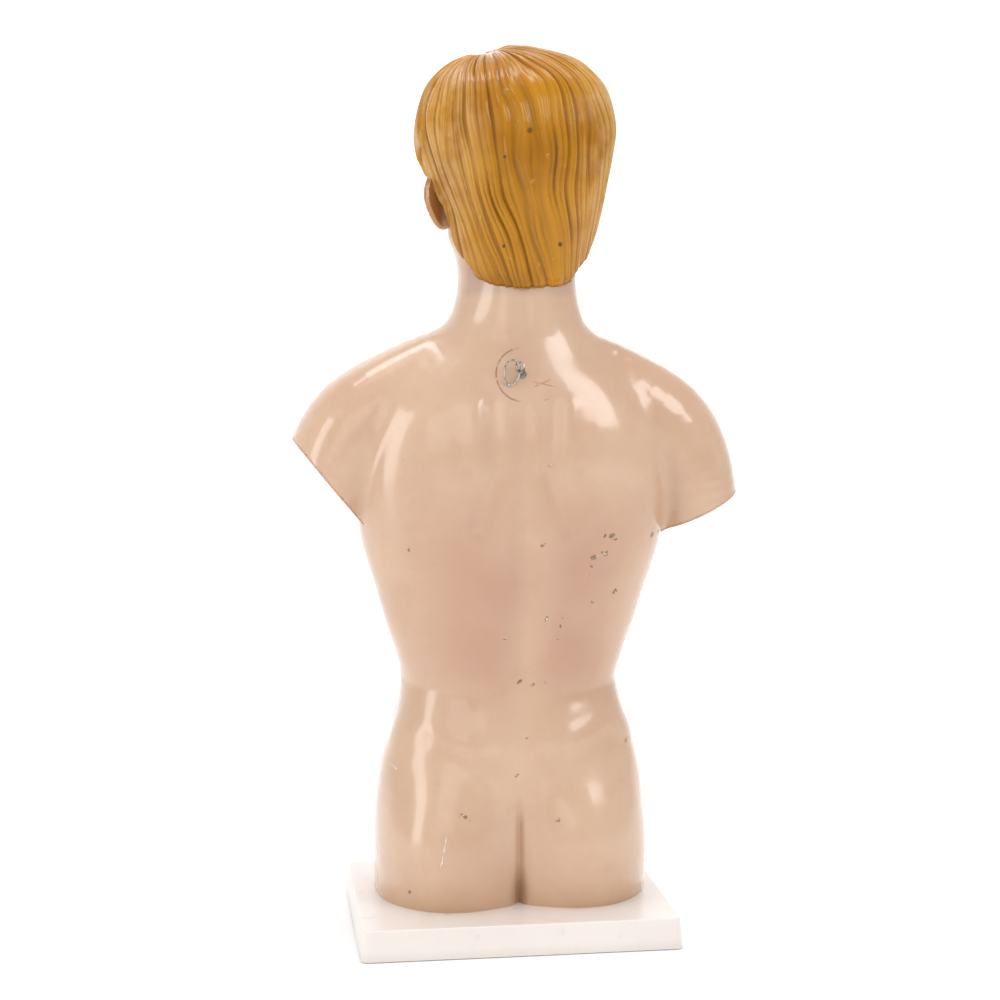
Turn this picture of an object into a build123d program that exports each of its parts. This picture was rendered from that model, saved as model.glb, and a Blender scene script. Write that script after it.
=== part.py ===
from build123d import *
from collections import namedtuple
import math
import os

# Half-life-size display torso: a hollow moulded figure, head to buttocks, on a moulded
# base tray, with a wire eye and ring in its back.  Millimetres, +Z up, origin at the
# centre of the base's underside, on the ground.  The figure faces -Y, its back faces +Y,
# its left arm is on +X.

os.makedirs("parts", exist_ok=True)

# ---------------------------------------------------------------- base tray
BASE_W = 176.0          # along X, at the top edge
BASE_D = 136.0          # along Y, at the top edge
BASE_TOP = 17.5         # height of the top face
BASE_RIM = 0.5          # the rim stands this far off the ground, on the feet
BASE_DRAFT = 1.5        # each side is this much wider at the rim
BASE_WALL = 3.0
BASE_CORNER_R = 4.0
BASE_INNER_R = 2.0
BASE_EDGE_R = 0.9
BASE_CEILING = BASE_TOP - 3.5   # underside of the tray's top wall
RIB_T = 2.2
RIB_FOOT_Z = 4.0
OVERLAP = 0.01          # ribs and posts run this far into the top wall

FOOT_R, FOOT_T = 7.0, 2.5
FOOT_CHAMFER = 0.4
FOOT_POST_R = FOOT_R + 1.5
FEET_AT = [(76.0, 56.0), (-76.0, 56.0), (76.0, -56.0), (-76.0, -56.0), (0.0, 0.0)]

# four screws from under the tray into inserts in the bottom closure
SCREW_X = 45.0
SCREW_YS = (-34.0, 18.0)
SCREW_AT = [(side * SCREW_X, y) for side in (-1, 1) for y in SCREW_YS]
SCREW_R, SCREW_LEN = 2.0, 20.0
SCREW_HOLE_R = SCREW_R + 0.25
SCREW_HEAD_R, SCREW_HEAD_H = 3.8, 2.4
SCREW_HEAD_EDGE_R = 0.8
SCREW_SLOT_L, SCREW_SLOT_W, SCREW_SLOT_DEPTH = 4.0, 0.9, 1.2
SCREW_SEAT_Z = 5.0
SCREW_POST_R = 6.0
RECESS_R, RECESS_DEPTH = 5.2, 2.0      # cut in the ribs round each screw seat
WASHER_R, WASHER_T = 4.5, 1.0
WASHER_HOLE_R = SCREW_R + 0.15
INSERT_R, INSERT_L = 3.0, 8.0
INSERT_BORE_R = SCREW_R + 0.02
INSERT_Z = BASE_TOP + 1.0

# ---------------------------------------------------------------- figure
WALL = 3.0              # wall of the moulded shells
TOTAL_H = 500.0         # ground to the crown of the hair
X0 = -3.0               # the torso's own middle plane
XH = -6.3               # middle of the head, leaning to the figure's right
CAVITY_FOOT_Z = 12.0    # the cavity starts below the shells, so they are open there

# One horizontal section.  It is widest at y = wide_y, and its front and back halves are
# superellipses with their own powers.
Station = namedtuple("Station", "z half_w mid_x front_y back_y wide_y front_pow back_pow")

TRUNK = [Station(*row) for row in [
    (17.5, 78.7, X0, -56.0, 41.5, -14.0, 2.35, 2.7),
    (50.0, 79.2, X0, -58.0, 45.5, -13.5, 2.35, 2.7),
    (82.0, 76.6, X0, -58.0, 45.0, -13.0, 2.35, 2.6),
    (112.0, 68.8, X0, -58.0, 37.0, -13.0, 2.3, 2.4),
    (140.0, 63.1, X0, -58.0, 30.5, -13.0, 2.3, 2.4),
    (175.0, 72.1, X0, -58.5, 31.5, -12.0, 2.4, 2.45),
    (217.0, 84.4, X0, -62.5, 38.0, -10.0, 2.4, 2.6),
    (260.0, 89.0, X0, -66.0, 43.0, -8.0, 2.5, 2.8),
    (290.0, 83.0, X0, -59.0, 42.5, -5.0, 2.45, 2.75),
    (317.3, 62.0, X0 - 0.6, -46.0, 36.5, -2.0, 2.3, 2.5),
    (342.0, 41.5, X0 - 2.4, -36.0, 30.0, -1.5, 2.1, 2.2),
    (366.0, 33.6, X0 - 3.1, -38.5, 28.5, -4.0, 2.05, 2.1),
    (392.0, 34.5, XH, -43.0, 27.0, -8.0, 2.05, 2.1),
]]
HEAD = [Station(*row) for row in [
    (370.5, 13.0, XH, -58.5, -32.0, -46.0, 2.1, 2.0),
    (380.0, 26.5, XH, -62.0, -6.0, -30.0, 2.1, 2.0),
    (396.0, 36.5, XH, -62.0, 24.0, -14.0, 2.1, 2.1),
    (418.0, 40.7, XH, -62.3, 38.0, -9.5, 2.15, 2.1),
    (440.0, 43.0, XH, -64.0, 42.5, -9.0, 2.2, 2.1),
    (458.0, 42.0, XH, -62.0, 41.5, -9.0, 2.2, 2.1),
    (474.0, 36.6, XH, -52.5, 35.0, -9.0, 2.15, 2.1),
    (486.0, 24.5, XH, -36.0, 20.5, -9.0, 2.0, 2.0),
    (491.5, 8.0, XH, -18.0, 1.0, -9.0, 2.0, 2.0),
]]
HAIR = [Station(*row) for row in [
    (364.5, 36.0, XH, -30.0, 33.0, 0.0, 2.1, 2.1),
    (395.0, 44.2, XH, -46.0, 42.0, -5.0, 2.1, 2.2),
    (425.0, 51.8, XH, -60.0, 49.5, -7.0, 2.2, 2.2),
    (452.0, 56.4, XH, -67.0, 52.0, -7.5, 2.2, 2.2),
    (471.0, 52.4, XH, -65.0, 48.5, -8.0, 2.2, 2.2),
    (486.0, 40.5, XH, -50.0, 36.5, -8.0, 2.1, 2.1),
    (495.5, 24.0, XH, -31.0, 18.0, -8.0, 2.0, 2.0),
    (TOTAL_H, 8.0, XH, -16.0, 0.0, -8.0, 2.0, 2.0),
]]
# side view (y, z) of what is cut from the hair's front, round the face and neck
HAIR_OPENING = [
    (-90, 350), (2, 350), (2, 372), (6.5, 398), (6.5, 424), (-12, 433),
    (-34, 436), (-46, 457), (-90, 462), (-90, 350),
]
HAIR_CUT_HALF_W = 80

# z, middle y, radius along X, radius along Y
NOSE = [
    (399.5, -60.5, 6.5, 6.5),
    (405.0, -61.0, 7.5, 10.5),
    (431.0, -60.0, 3.4, 5.5),
]
EAR_ROOT, EAR_Y, EAR_Z = 36.5, -4.0, 413.0     # the root is measured from XH
EAR_RY, EAR_RZ = 8.5, 15.5
EARS = [(1, 17.5), (-1, 10.5)]                 # side, length along X

# middle x from X0, middle y, middle z, direction (x, z) up the arm, radius across, radius
# along Y; x is mirrored for the right arm
ARM = [
    (122.2, -8.0, 212.2, -0.452, 0.892, 22.5, 27.0),
    (105.0, -8.0, 249.0, -0.452, 0.892, 26.0, 29.5),
    (95.0, -7.0, 276.0, -0.60, 0.80, 29.0, 32.0),
    (86.0, -6.0, 290.5, -0.80, 0.60, 28.5, 31.0),
    (60.0, -3.5, 305.0, -0.93, 0.37, 29.0, 27.0),
    (26.0, 0.0, 324.0, -0.93, 0.37, 22.0, 18.0),
]
# an arm's side, and its flat end: a point on the plane (x, z) and the outward normal
Stump = namedtuple("Stump", "side x z out_x out_z")
LEFT = Stump(1, 104.3, 259.1, 0.776, -0.631)
RIGHT = Stump(-1, -112.2, 237.2, -0.452, -0.892)
CUT_Y = -8.0
CUT_W = 150             # along Y
CUT_ACROSS, CUT_LEN = 200, 90
CAP_ACROSS = 74
CAVITY_PAST_CUT = 0.5   # the arm's cavity runs this far past its cut

# ---------------------------------------------------------------- station geometry
ANGLES = [22.5 * k for k in range(16)]


def edge_point(station, angle, shrink=0.0):
    """Point (x, y) on a station's edge, its half axes shortened by shrink."""
    c, s = math.cos(math.radians(angle)), math.sin(math.radians(angle))
    if s >= 0:
        power, depth = station.back_pow, station.back_y - station.wide_y
    else:
        power, depth = station.front_pow, station.wide_y - station.front_y
    x = (station.half_w - shrink) * math.copysign(abs(c) ** (2.0 / power), c)
    y = (depth - shrink) * math.copysign(abs(s) ** (2.0 / power), s)
    return station.mid_x + x, station.wide_y + y


def outline(station, inset=0.0):
    """Closed outline of one station as (x, y) points, moved in by inset."""
    points = [edge_point(station, angle) for angle in ANGLES]
    moved = []
    for i, (x, y) in enumerate(points):
        before, after = points[i - 1], points[(i + 1) % len(points)]
        along_x, along_y = after[0] - before[0], after[1] - before[1]
        k = inset / math.hypot(along_x, along_y)
        moved.append((x - along_y * k, y + along_x * k))
    return moved


def trunk_at(z):
    """The trunk's station at height z, read between its neighbours."""
    below, above = next(
        pair for pair in zip(TRUNK, TRUNK[1:]) if pair[0].z <= z <= pair[1].z)
    t = (z - below.z) / (above.z - below.z)
    return Station(*(p + (q - p) * t for p, q in zip(below, above)))


def seam_half_width(station):
    """Half width of a station at y = 0, which lies behind its widest point."""
    n = station.back_pow
    return station.half_w * (
        1.0 - (-station.wide_y / (station.back_y - station.wide_y)) ** n) ** (1.0 / n)


def back_y(x, z):
    """The y of the trunk's back surface at x, z."""
    station = trunk_at(z)
    n = station.back_pow
    u = abs((x - station.mid_x) / station.half_w)
    return station.wide_y + (station.back_y - station.wide_y) * (1.0 - u ** n) ** (1.0 / n)


# ---------------------------------------------------------------- seam lugs and dowels
# The shells part at y = 0.  Three lugs each side and one in the crown cross the seam.
SEAM_LUG_R, SEAM_LUG_L = 5.0, 20.0
SEAM_LUG_IN = WALL + 1.6            # lug's middle from the outer surface
SEAM_LUG_ZS = (52.0, 138.0, 208.0)
CROWN_LUG_Z = 484.6
DOWEL_R, DOWEL_L = 1.95, 8.0        # length of the hole
DOWEL_END_GAP = 0.2
DOWEL_HOLE_R = 2.0


def seam_plane(y):
    """Plane facing +Y at y, whose own second axis points down."""
    return Plane(origin=(0, y, 0), x_dir=(1, 0, 0), z_dir=(0, 1, 0))


def seam_lug_points():
    """The lugs' middles as (x, -z), for sketches on a seam plane."""
    points = []
    for z in SEAM_LUG_ZS:
        station = trunk_at(z)
        reach = seam_half_width(station) - SEAM_LUG_IN
        points += [(station.mid_x + side * reach, -z) for side in (-1, 1)]
    return points + [(XH, -CROWN_LUG_Z)]


SEAM_AT = seam_lug_points()

# ---------------------------------------------------------------- bottom closure
CLOSURE_T = 4.0
CLOSURE_TOP = BASE_TOP + CLOSURE_T
CLOSURE_INSET = WALL + 2.0
NOTCH_AT = (0.5, 42)                # rounded notch, open through the back edge
NOTCH_W, NOTCH_D, NOTCH_R = 34, 42, 8
BOSS_R, BOSS_H = 6.5, 8.0
BOSS_HOLE_DEPTH = 14.0

# four countersunk screws up through the closure into lugs in the shells
CLOSE_SCREW_R, CLOSE_SCREW_LEN = 1.5, 12.0
CLOSE_LUG_R, CLOSE_LUG_H = 7.5, 13.0
CLOSE_PILOT_R, CLOSE_PILOT_DEPTH = CLOSE_SCREW_R + 0.05, 9.0
CLOSE_HOLE_R = CLOSE_SCREW_R + 0.15
CLOSE_HEAD_R, CLOSE_HEAD_H = 2.95, 1.55
CLOSE_SLOT_L, CLOSE_SLOT_W, CLOSE_SLOT_DEPTH = 2.6, 0.6, 0.9
COUNTERSINK_R, COUNTERSINK_DEPTH, COUNTERSINK_TAPER = 3.15, 1.8, 40
CLOSE_AT = [edge_point(trunk_at(28.0), angle, WALL + 5.0) for angle in (24, 156, 204, 336)]

# ---------------------------------------------------------------- hanging point
HANG_X, HANG_Z = -3.5, 317.3        # where the hanging eye's shank leaves the back
LEAN_SPAN = 8                       # the back's lean is read this far above and below


def hanging_plane():
    """Plane on the back: u to the figure's right, v up the back, n out of the skin."""
    drop = back_y(HANG_X, HANG_Z - LEAN_SPAN) - back_y(HANG_X, HANG_Z + LEAN_SPAN)
    lean = math.atan2(drop, 2 * LEAN_SPAN)
    return Plane(origin=(HANG_X, back_y(HANG_X, HANG_Z), HANG_Z), x_dir=(-1, 0, 0),
                 z_dir=(0, math.cos(lean), math.sin(lean)))


HANG = hanging_plane()

SHANK_R = 1.25
SHANK_HOLE_R = 1.30                 # 0.05 mm running clearance
BLOCK_T = 9.0
BLOCK_U, BLOCK_V, BLOCK_CORNER_R = 26, 20, 3
HANG_WASHER_R, HANG_WASHER_T = 3.5, 0.8
NUT_R, NUT_T = 2.9, 2.0             # radius to the corners
# heights along n, all inside the figure
BLOCK_FACE = -BLOCK_T - WALL
NUT_TOP = BLOCK_FACE - HANG_WASHER_T - 0.1
SHANK_END = NUT_TOP - NUT_T - 1.2

SHANK_TOP = 0.5
COLLAR_R, COLLAR_T, COLLAR_RISE = 2.1, 0.8, 0.25
NECK_R, NECK_LEN, NECK_V = 0.7, 6.2, 0.5
WIRE_R = 0.6
EYE_RISE = 6.1                      # height of the loop's middle above the skin
EYE_TURN = math.radians(65.0)       # the loop is turned this far away from the normal
EYE_HALF_W = 1.95 / math.sin(EYE_TURN)
EYE_HALF_H = 3.0
LOOP_U = -2.1                       # the loop stands to the figure's left of the shank

# middle line of the ring: u from LOOP_U, v
RING = [
    (-4.4, 6.5), (-2.0, 6.0), (-0.6, 4.3), (-0.2, 2.0), (-0.2, -0.3), (-0.6, -2.6),
    (-2.4, -4.8), (-4.8, -6.0), (-7.0, -4.9), (-8.2, -2.2), (-8.5, 0.8), (-8.1, 3.5),
    (-6.7, 5.6),
]
RING_SLOPE = 0.54                   # rise along n per mm of v
RING_FOOT_V = min(v for u, v in RING)
RING_FOOT_RISE = 0.9                # wire's middle above the skin plane at the ring's foot


# ---------------------------------------------------------------- body forms
def lofted(stations, inset=0.0):
    """Solid through the stations, with each outline moved in by inset."""
    with BuildPart() as body:
        for station in stations:
            with BuildSketch(Plane.XY.offset(station.z)):
                with BuildLine():
                    Spline(*outline(station, inset), periodic=True)
                make_face()
        loft()
    return body.part


def cut_plane(stump, shift=0.0):
    """An arm's cut plane, moved outward by shift."""
    return Plane(origin=(stump.x + stump.out_x * shift, CUT_Y, stump.z + stump.out_z * shift),
                 x_dir=(0, 1, 0), z_dir=(stump.out_x, 0, stump.out_z))


def arm(stump, inset=0.0, past=0.0):
    """One arm stump, from the shoulder's root down to its cut (or a little past it)."""
    with BuildPart() as limb:
        for from_mid, y, z, up_x, up_z, across_r, y_r in ARM:
            with BuildSketch(Plane(origin=(X0 + stump.side * from_mid, y, z),
                                   x_dir=(0, 1, 0), z_dir=(stump.side * up_x, 0, up_z))):
                Ellipse(y_r - inset, across_r - inset)
        loft()
        with BuildSketch(cut_plane(stump, past)):
            Rectangle(CUT_W, CUT_ACROSS)
        extrude(amount=CUT_LEN, mode=Mode.SUBTRACT)
    return limb.part


def cap_slab(stump):
    """Slab one wall deep inside an arm's cut plane, and 1 mm beyond it."""
    with BuildPart() as slab:
        with BuildSketch(cut_plane(stump, -WALL)):
            Rectangle(CUT_W, CAP_ACROSS)
        extrude(amount=WALL + 1.0)
    return slab.part


def nose_and_ears():
    with BuildPart() as features:
        for z, y, x_r, y_r in NOSE:
            with BuildSketch(Plane.XY.offset(z)):
                with Locations((XH, y)):
                    Ellipse(x_r, y_r)
        loft()
        for side, length in EARS:
            with BuildSketch(Plane(origin=(XH + side * EAR_ROOT, EAR_Y, EAR_Z),
                                   x_dir=(0, 1, 0), z_dir=(side, 0, 0))):
                Ellipse(EAR_RY, EAR_RZ)
            extrude(amount=length)
    return features.part


def outer_form():
    """The whole figure as a solid, without hair."""
    with BuildPart() as form:
        add(lofted(TRUNK))
        add(lofted(HEAD))
        add(arm(LEFT))
        add(arm(RIGHT))
        add(nose_and_ears())
    return form.part


def hollow_space():
    """The inner space of trunk, head and arms."""
    trunk = [TRUNK[0]._replace(z=CAVITY_FOOT_Z)] + TRUNK[1:]
    head = HEAD[1:-1] + [HEAD[-1]._replace(z=HEAD[-1].z - WALL)]
    with BuildPart() as space:
        add(lofted(trunk, WALL))
        add(lofted(head, WALL))
        add(arm(LEFT, WALL, CAVITY_PAST_CUT))
        add(arm(RIGHT, WALL, CAVITY_PAST_CUT))
    return space.part


def cavity_form():
    """The inner space less the lugs, which so stay solid in the shells."""
    with BuildPart() as form:
        add(hollow_space())
        with BuildSketch(seam_plane(-SEAM_LUG_L / 2)):
            with Locations(*SEAM_AT):
                Circle(SEAM_LUG_R)
        extrude(amount=SEAM_LUG_L, mode=Mode.SUBTRACT)
        with BuildSketch(Plane.XY.offset(CLOSURE_TOP)):
            with Locations(*CLOSE_AT):
                Circle(CLOSE_LUG_R)
        extrude(amount=CLOSE_LUG_H, mode=Mode.SUBTRACT)
    return form.part


def shell_walls():
    """Both shells in one, with the dowel and closing screw holes."""
    with BuildPart() as shells:
        add(figure)
        add(cavity, mode=Mode.SUBTRACT)
        with BuildSketch(seam_plane(-DOWEL_L / 2)):
            with Locations(*SEAM_AT):
                Circle(DOWEL_HOLE_R)
        extrude(amount=DOWEL_L, mode=Mode.SUBTRACT)
        with BuildSketch(Plane.XY.offset(CLOSURE_TOP)):
            with Locations(*CLOSE_AT):
                Circle(CLOSE_PILOT_R)
        extrude(amount=CLOSE_PILOT_DEPTH, mode=Mode.SUBTRACT)
    return shells.part


# ---------------------------------------------------------------- figure pieces
def back_shell():
    with BuildPart() as shell:
        add(walls)
        split(bisect_by=Plane.XZ, keep=Keep.BOTTOM)     # Plane.XZ faces -Y
        with BuildSketch(HANG.offset(BLOCK_FACE)):
            Circle(SHANK_HOLE_R)
        extrude(amount=20, mode=Mode.SUBTRACT)
    return shell.part


def front_shell():
    with BuildPart() as shell:
        add(walls)
        split(bisect_by=Plane.XZ, keep=Keep.TOP)
    return shell.part


def hair_cap():
    with BuildPart() as hair:
        add(lofted(HAIR))
        with BuildSketch(Plane.YZ.offset(-HAIR_CUT_HALF_W)):
            with BuildLine():
                Polyline(*HAIR_OPENING)
            make_face()
        extrude(amount=2 * HAIR_CUT_HALF_W, mode=Mode.SUBTRACT)
        add(figure, mode=Mode.SUBTRACT)
    return hair.part


def arm_cap(stump):
    """Plug in the open end of an arm, flush with the cut."""
    with BuildPart() as cap:
        add(arm(stump, WALL))
        add(cap_slab(stump), mode=Mode.INTERSECT)
    return cap.part


def seam_dowels():
    with BuildPart() as dowels:
        with BuildSketch(seam_plane(-DOWEL_L / 2 + DOWEL_END_GAP)):
            with Locations(*SEAM_AT):
                Circle(DOWEL_R)
        extrude(amount=DOWEL_L - 2 * DOWEL_END_GAP)
    return dowels.part


# ---------------------------------------------------------------- hanger pieces
def hanger_block():
    """Block behind the shank, its outer side shaped by the cavity."""
    with BuildPart() as block:
        with BuildSketch(HANG.offset(BLOCK_FACE)):
            RectangleRounded(BLOCK_U, BLOCK_V, BLOCK_CORNER_R)
        extrude(amount=BLOCK_T + WALL + 3.0)
        add(cavity, mode=Mode.INTERSECT)
        with BuildSketch(HANG.offset(-30)):
            Circle(SHANK_HOLE_R)
        extrude(amount=40, mode=Mode.SUBTRACT)
    return block.part


def hanger_washer():
    with BuildPart() as washer:
        with BuildSketch(HANG.offset(BLOCK_FACE - HANG_WASHER_T)):
            Circle(HANG_WASHER_R)
            Circle(SHANK_HOLE_R, mode=Mode.SUBTRACT)
        extrude(amount=HANG_WASHER_T)
    return washer.part


def hanger_nut():
    with BuildPart() as nut:
        with BuildSketch(HANG.offset(NUT_TOP - NUT_T)):
            RegularPolygon(NUT_R, 6)
            Circle(SHANK_R, mode=Mode.SUBTRACT)
        extrude(amount=NUT_T)
    return nut.part


def on_back(u, v, n):
    """Point given in the hanging plane's own frame."""
    return HANG.from_local_coords(Vector(u, v, n))


def hanger_eye():
    """Shank through wall and block, collar, neck and a turned wire loop."""
    across = HANG.x_dir * math.sin(EYE_TURN) + HANG.z_dir * math.cos(EYE_TURN)
    straight = EYE_HALF_H - EYE_HALF_W      # half length of the loop's straight sides
    with BuildPart() as eye:
        with BuildSketch(HANG.offset(SHANK_END)):
            Circle(SHANK_R)
        extrude(amount=SHANK_TOP - SHANK_END)
        with BuildSketch(HANG.offset(COLLAR_RISE)):
            Circle(COLLAR_R)
        extrude(amount=COLLAR_T)
        with BuildSketch(HANG.offset(SHANK_TOP)):
            with Locations((0, NECK_V)):
                Circle(NECK_R)
        extrude(amount=NECK_LEN)
        with BuildLine(Plane(origin=on_back(LOOP_U, EYE_HALF_H, EYE_RISE), x_dir=across,
                             z_dir=across.cross(HANG.y_dir))) as loop_path:
            Line((-EYE_HALF_W, straight), (-EYE_HALF_W, -straight))
            CenterArc((0, -straight), EYE_HALF_W, 180, 180)
            Line((EYE_HALF_W, -straight), (EYE_HALF_W, straight))
            CenterArc((0, straight), EYE_HALF_W, 0, 180)
        loop_wire = loop_path.wires()[0]
        with BuildSketch(Plane(origin=loop_wire @ 0, z_dir=loop_wire % 0)):
            Circle(WIRE_R)
        sweep(path=loop_wire)
    return eye.part


def hanger_ring():
    """Oval of wire threaded through the loop, its foot just clear of the back."""
    points = [on_back(LOOP_U + u, v, RING_FOOT_RISE + RING_SLOPE * (v - RING_FOOT_V))
              for u, v in RING]
    with BuildPart() as ring:
        with BuildLine():
            oval = Spline(*points, periodic=True)
        with BuildSketch(Plane(origin=oval @ 0, z_dir=oval % 0)):
            Circle(WIRE_R)
        sweep(path=oval)
    return ring.part


# ---------------------------------------------------------------- closure pieces
def bottom_closure():
    # points, radius, bottom z, height, mode: bosses, screw holes, insert pockets,
    # closing screw holes
    rounds = [
        (SCREW_AT, BOSS_R, CLOSURE_TOP, BOSS_H, Mode.ADD),
        (SCREW_AT, SCREW_HOLE_R, BASE_TOP, BOSS_HOLE_DEPTH, Mode.SUBTRACT),
        (SCREW_AT, INSERT_R, INSERT_Z, INSERT_L, Mode.SUBTRACT),
        (CLOSE_AT, CLOSE_HOLE_R, BASE_TOP, CLOSURE_T, Mode.SUBTRACT),
    ]
    with BuildPart() as closure:
        with BuildSketch(Plane.XY.offset(BASE_TOP)):
            with BuildLine():
                Spline(*outline(TRUNK[0], CLOSURE_INSET), periodic=True)
            make_face()
        extrude(amount=CLOSURE_T)
        with BuildSketch(Plane.XY.offset(BASE_TOP)):
            with Locations(NOTCH_AT):
                RectangleRounded(NOTCH_W, NOTCH_D, NOTCH_R)
        extrude(amount=CLOSURE_T, mode=Mode.SUBTRACT)
        for points, radius, bottom, height, mode in rounds:
            with BuildSketch(Plane.XY.offset(bottom)):
                with Locations(*points):
                    Circle(radius)
            extrude(amount=height, mode=mode)
        with BuildSketch(Plane.XY.offset(BASE_TOP)):
            with Locations(*CLOSE_AT):
                Circle(COUNTERSINK_R)
        extrude(amount=COUNTERSINK_DEPTH, taper=COUNTERSINK_TAPER, mode=Mode.SUBTRACT)
    return closure.part


def closure_screws():
    with BuildPart() as screws:
        with BuildSketch(Plane.XY.offset(BASE_TOP)):
            with Locations(*CLOSE_AT):
                Circle(CLOSE_HEAD_R)
        extrude(amount=CLOSE_HEAD_H, taper=COUNTERSINK_TAPER)
        with BuildSketch(Plane.XY.offset(BASE_TOP)):
            with Locations(*CLOSE_AT):
                Circle(CLOSE_SCREW_R)
        extrude(amount=CLOSE_SCREW_LEN)
        with BuildSketch(Plane.XY.offset(BASE_TOP)):
            with Locations(*CLOSE_AT):
                Rectangle(CLOSE_SLOT_L, CLOSE_SLOT_W)
                Rectangle(CLOSE_SLOT_W, CLOSE_SLOT_L)
        extrude(amount=CLOSE_SLOT_DEPTH, mode=Mode.SUBTRACT)
    return screws.part


# ---------------------------------------------------------------- base pieces
def base_plate():
    rim_w, rim_d = BASE_W + 2 * BASE_DRAFT, BASE_D + 2 * BASE_DRAFT
    # points, radius, bottom z, height, mode: screw posts, recesses under them, posts over
    # the feet, screw holes
    recess_z = SCREW_SEAT_Z - RECESS_DEPTH
    rounds = [
        (SCREW_AT, SCREW_POST_R, SCREW_SEAT_Z, BASE_CEILING - SCREW_SEAT_Z + OVERLAP, Mode.ADD),
        (SCREW_AT, RECESS_R, recess_z, RECESS_DEPTH, Mode.SUBTRACT),
        (FEET_AT, FOOT_POST_R, FOOT_T, BASE_CEILING - FOOT_T + OVERLAP, Mode.ADD),
        (SCREW_AT, SCREW_HOLE_R, recess_z, BASE_TOP, Mode.SUBTRACT),
    ]
    with BuildPart() as tray:
        with BuildSketch(Plane.XY.offset(BASE_RIM)):
            RectangleRounded(rim_w, rim_d, BASE_CORNER_R)
        with BuildSketch(Plane.XY.offset(BASE_TOP)):
            RectangleRounded(BASE_W, BASE_D, BASE_CORNER_R)
        loft()
        top = tray.faces().sort_by(Axis.Z)[-1]
        fillet(top.outer_wire().edges(), BASE_EDGE_R)
        with BuildSketch(Plane.XY.offset(BASE_RIM)):
            RectangleRounded(rim_w - 2 * BASE_WALL, rim_d - 2 * BASE_WALL, BASE_INNER_R)
        with BuildSketch(Plane.XY.offset(BASE_CEILING)):
            RectangleRounded(BASE_W - 2 * BASE_WALL, BASE_D - 2 * BASE_WALL, BASE_INNER_R)
        loft(mode=Mode.SUBTRACT)
        # ribs, ending within the side walls
        with BuildSketch(Plane.XY.offset(RIB_FOOT_Z)):
            for y in SCREW_YS:
                with Locations((0, y)):
                    Rectangle(BASE_W - BASE_WALL, RIB_T)
            for x in (-SCREW_X, 0, SCREW_X):
                with Locations((x, 0)):
                    Rectangle(RIB_T, BASE_D - BASE_WALL)
        extrude(amount=BASE_CEILING - RIB_FOOT_Z + OVERLAP)
        for points, radius, bottom, height, mode in rounds:
            with BuildSketch(Plane.XY.offset(bottom)):
                with Locations(*points):
                    Circle(radius)
            extrude(amount=height, mode=mode)
    return tray.part


def base_feet():
    with BuildPart() as feet:
        with BuildSketch(Plane.XY):
            with Locations(*FEET_AT):
                Circle(FOOT_R)
        extrude(amount=FOOT_T)
        chamfer(feet.faces().filter_by(Axis.Z).group_by(Axis.Z)[0].edges(), FOOT_CHAMFER)
    return feet.part


def screw_rings(radius, bore_r, bottom, height):
    """A plain ring round each base screw."""
    with BuildPart() as rings:
        with BuildSketch(Plane.XY.offset(bottom)):
            with Locations(*SCREW_AT):
                Circle(radius)
                Circle(bore_r, mode=Mode.SUBTRACT)
        extrude(amount=height)
    return rings.part


def base_screws():
    head_top = SCREW_SEAT_Z - WASHER_T
    head_bottom = head_top - SCREW_HEAD_H
    with BuildPart() as screws:
        with BuildSketch(Plane.XY.offset(head_bottom)):
            with Locations(*SCREW_AT):
                Circle(SCREW_HEAD_R)
        extrude(amount=SCREW_HEAD_H)
        fillet(screws.faces().filter_by(Axis.Z).group_by(Axis.Z)[0].edges(), SCREW_HEAD_EDGE_R)
        with BuildSketch(Plane.XY.offset(head_top)):
            with Locations(*SCREW_AT):
                Circle(SCREW_R)
        extrude(amount=SCREW_LEN)
        with BuildSketch(Plane.XY.offset(head_bottom)):
            with Locations(*SCREW_AT):
                Rectangle(SCREW_SLOT_L, SCREW_SLOT_W)
                Rectangle(SCREW_SLOT_W, SCREW_SLOT_L)
        extrude(amount=SCREW_SLOT_DEPTH, mode=Mode.SUBTRACT)
    return screws.part


# ---------------------------------------------------------------- build and write
figure = outer_form()
cavity = cavity_form()
walls = shell_walls()

PIECES = {
    "hanger_block": hanger_block(),
    "hanger_washer": hanger_washer(),
    "hanger_nut": hanger_nut(),
    "hanger_eye": hanger_eye(),
    "hanger_ring": hanger_ring(),
    "back_shell": back_shell(),
    "front_shell": front_shell(),
    "hair_cap": hair_cap(),
    "arm_cap_left": arm_cap(LEFT),
    "arm_cap_right": arm_cap(RIGHT),
    "bottom_closure": bottom_closure(),
    "base_plate": base_plate(),
    "base_feet": base_feet(),
    "base_washers": screw_rings(WASHER_R, WASHER_HOLE_R, SCREW_SEAT_Z - WASHER_T, WASHER_T),
    "base_screws": base_screws(),
    "base_inserts": screw_rings(INSERT_R, INSERT_BORE_R, INSERT_Z, INSERT_L),
    "closure_screws": closure_screws(),
    "seam_dowels": seam_dowels(),
}
for name, piece in PIECES.items():
    piece.label = name
    export_step(piece, f"parts/{name}.step")
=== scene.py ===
import math

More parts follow.
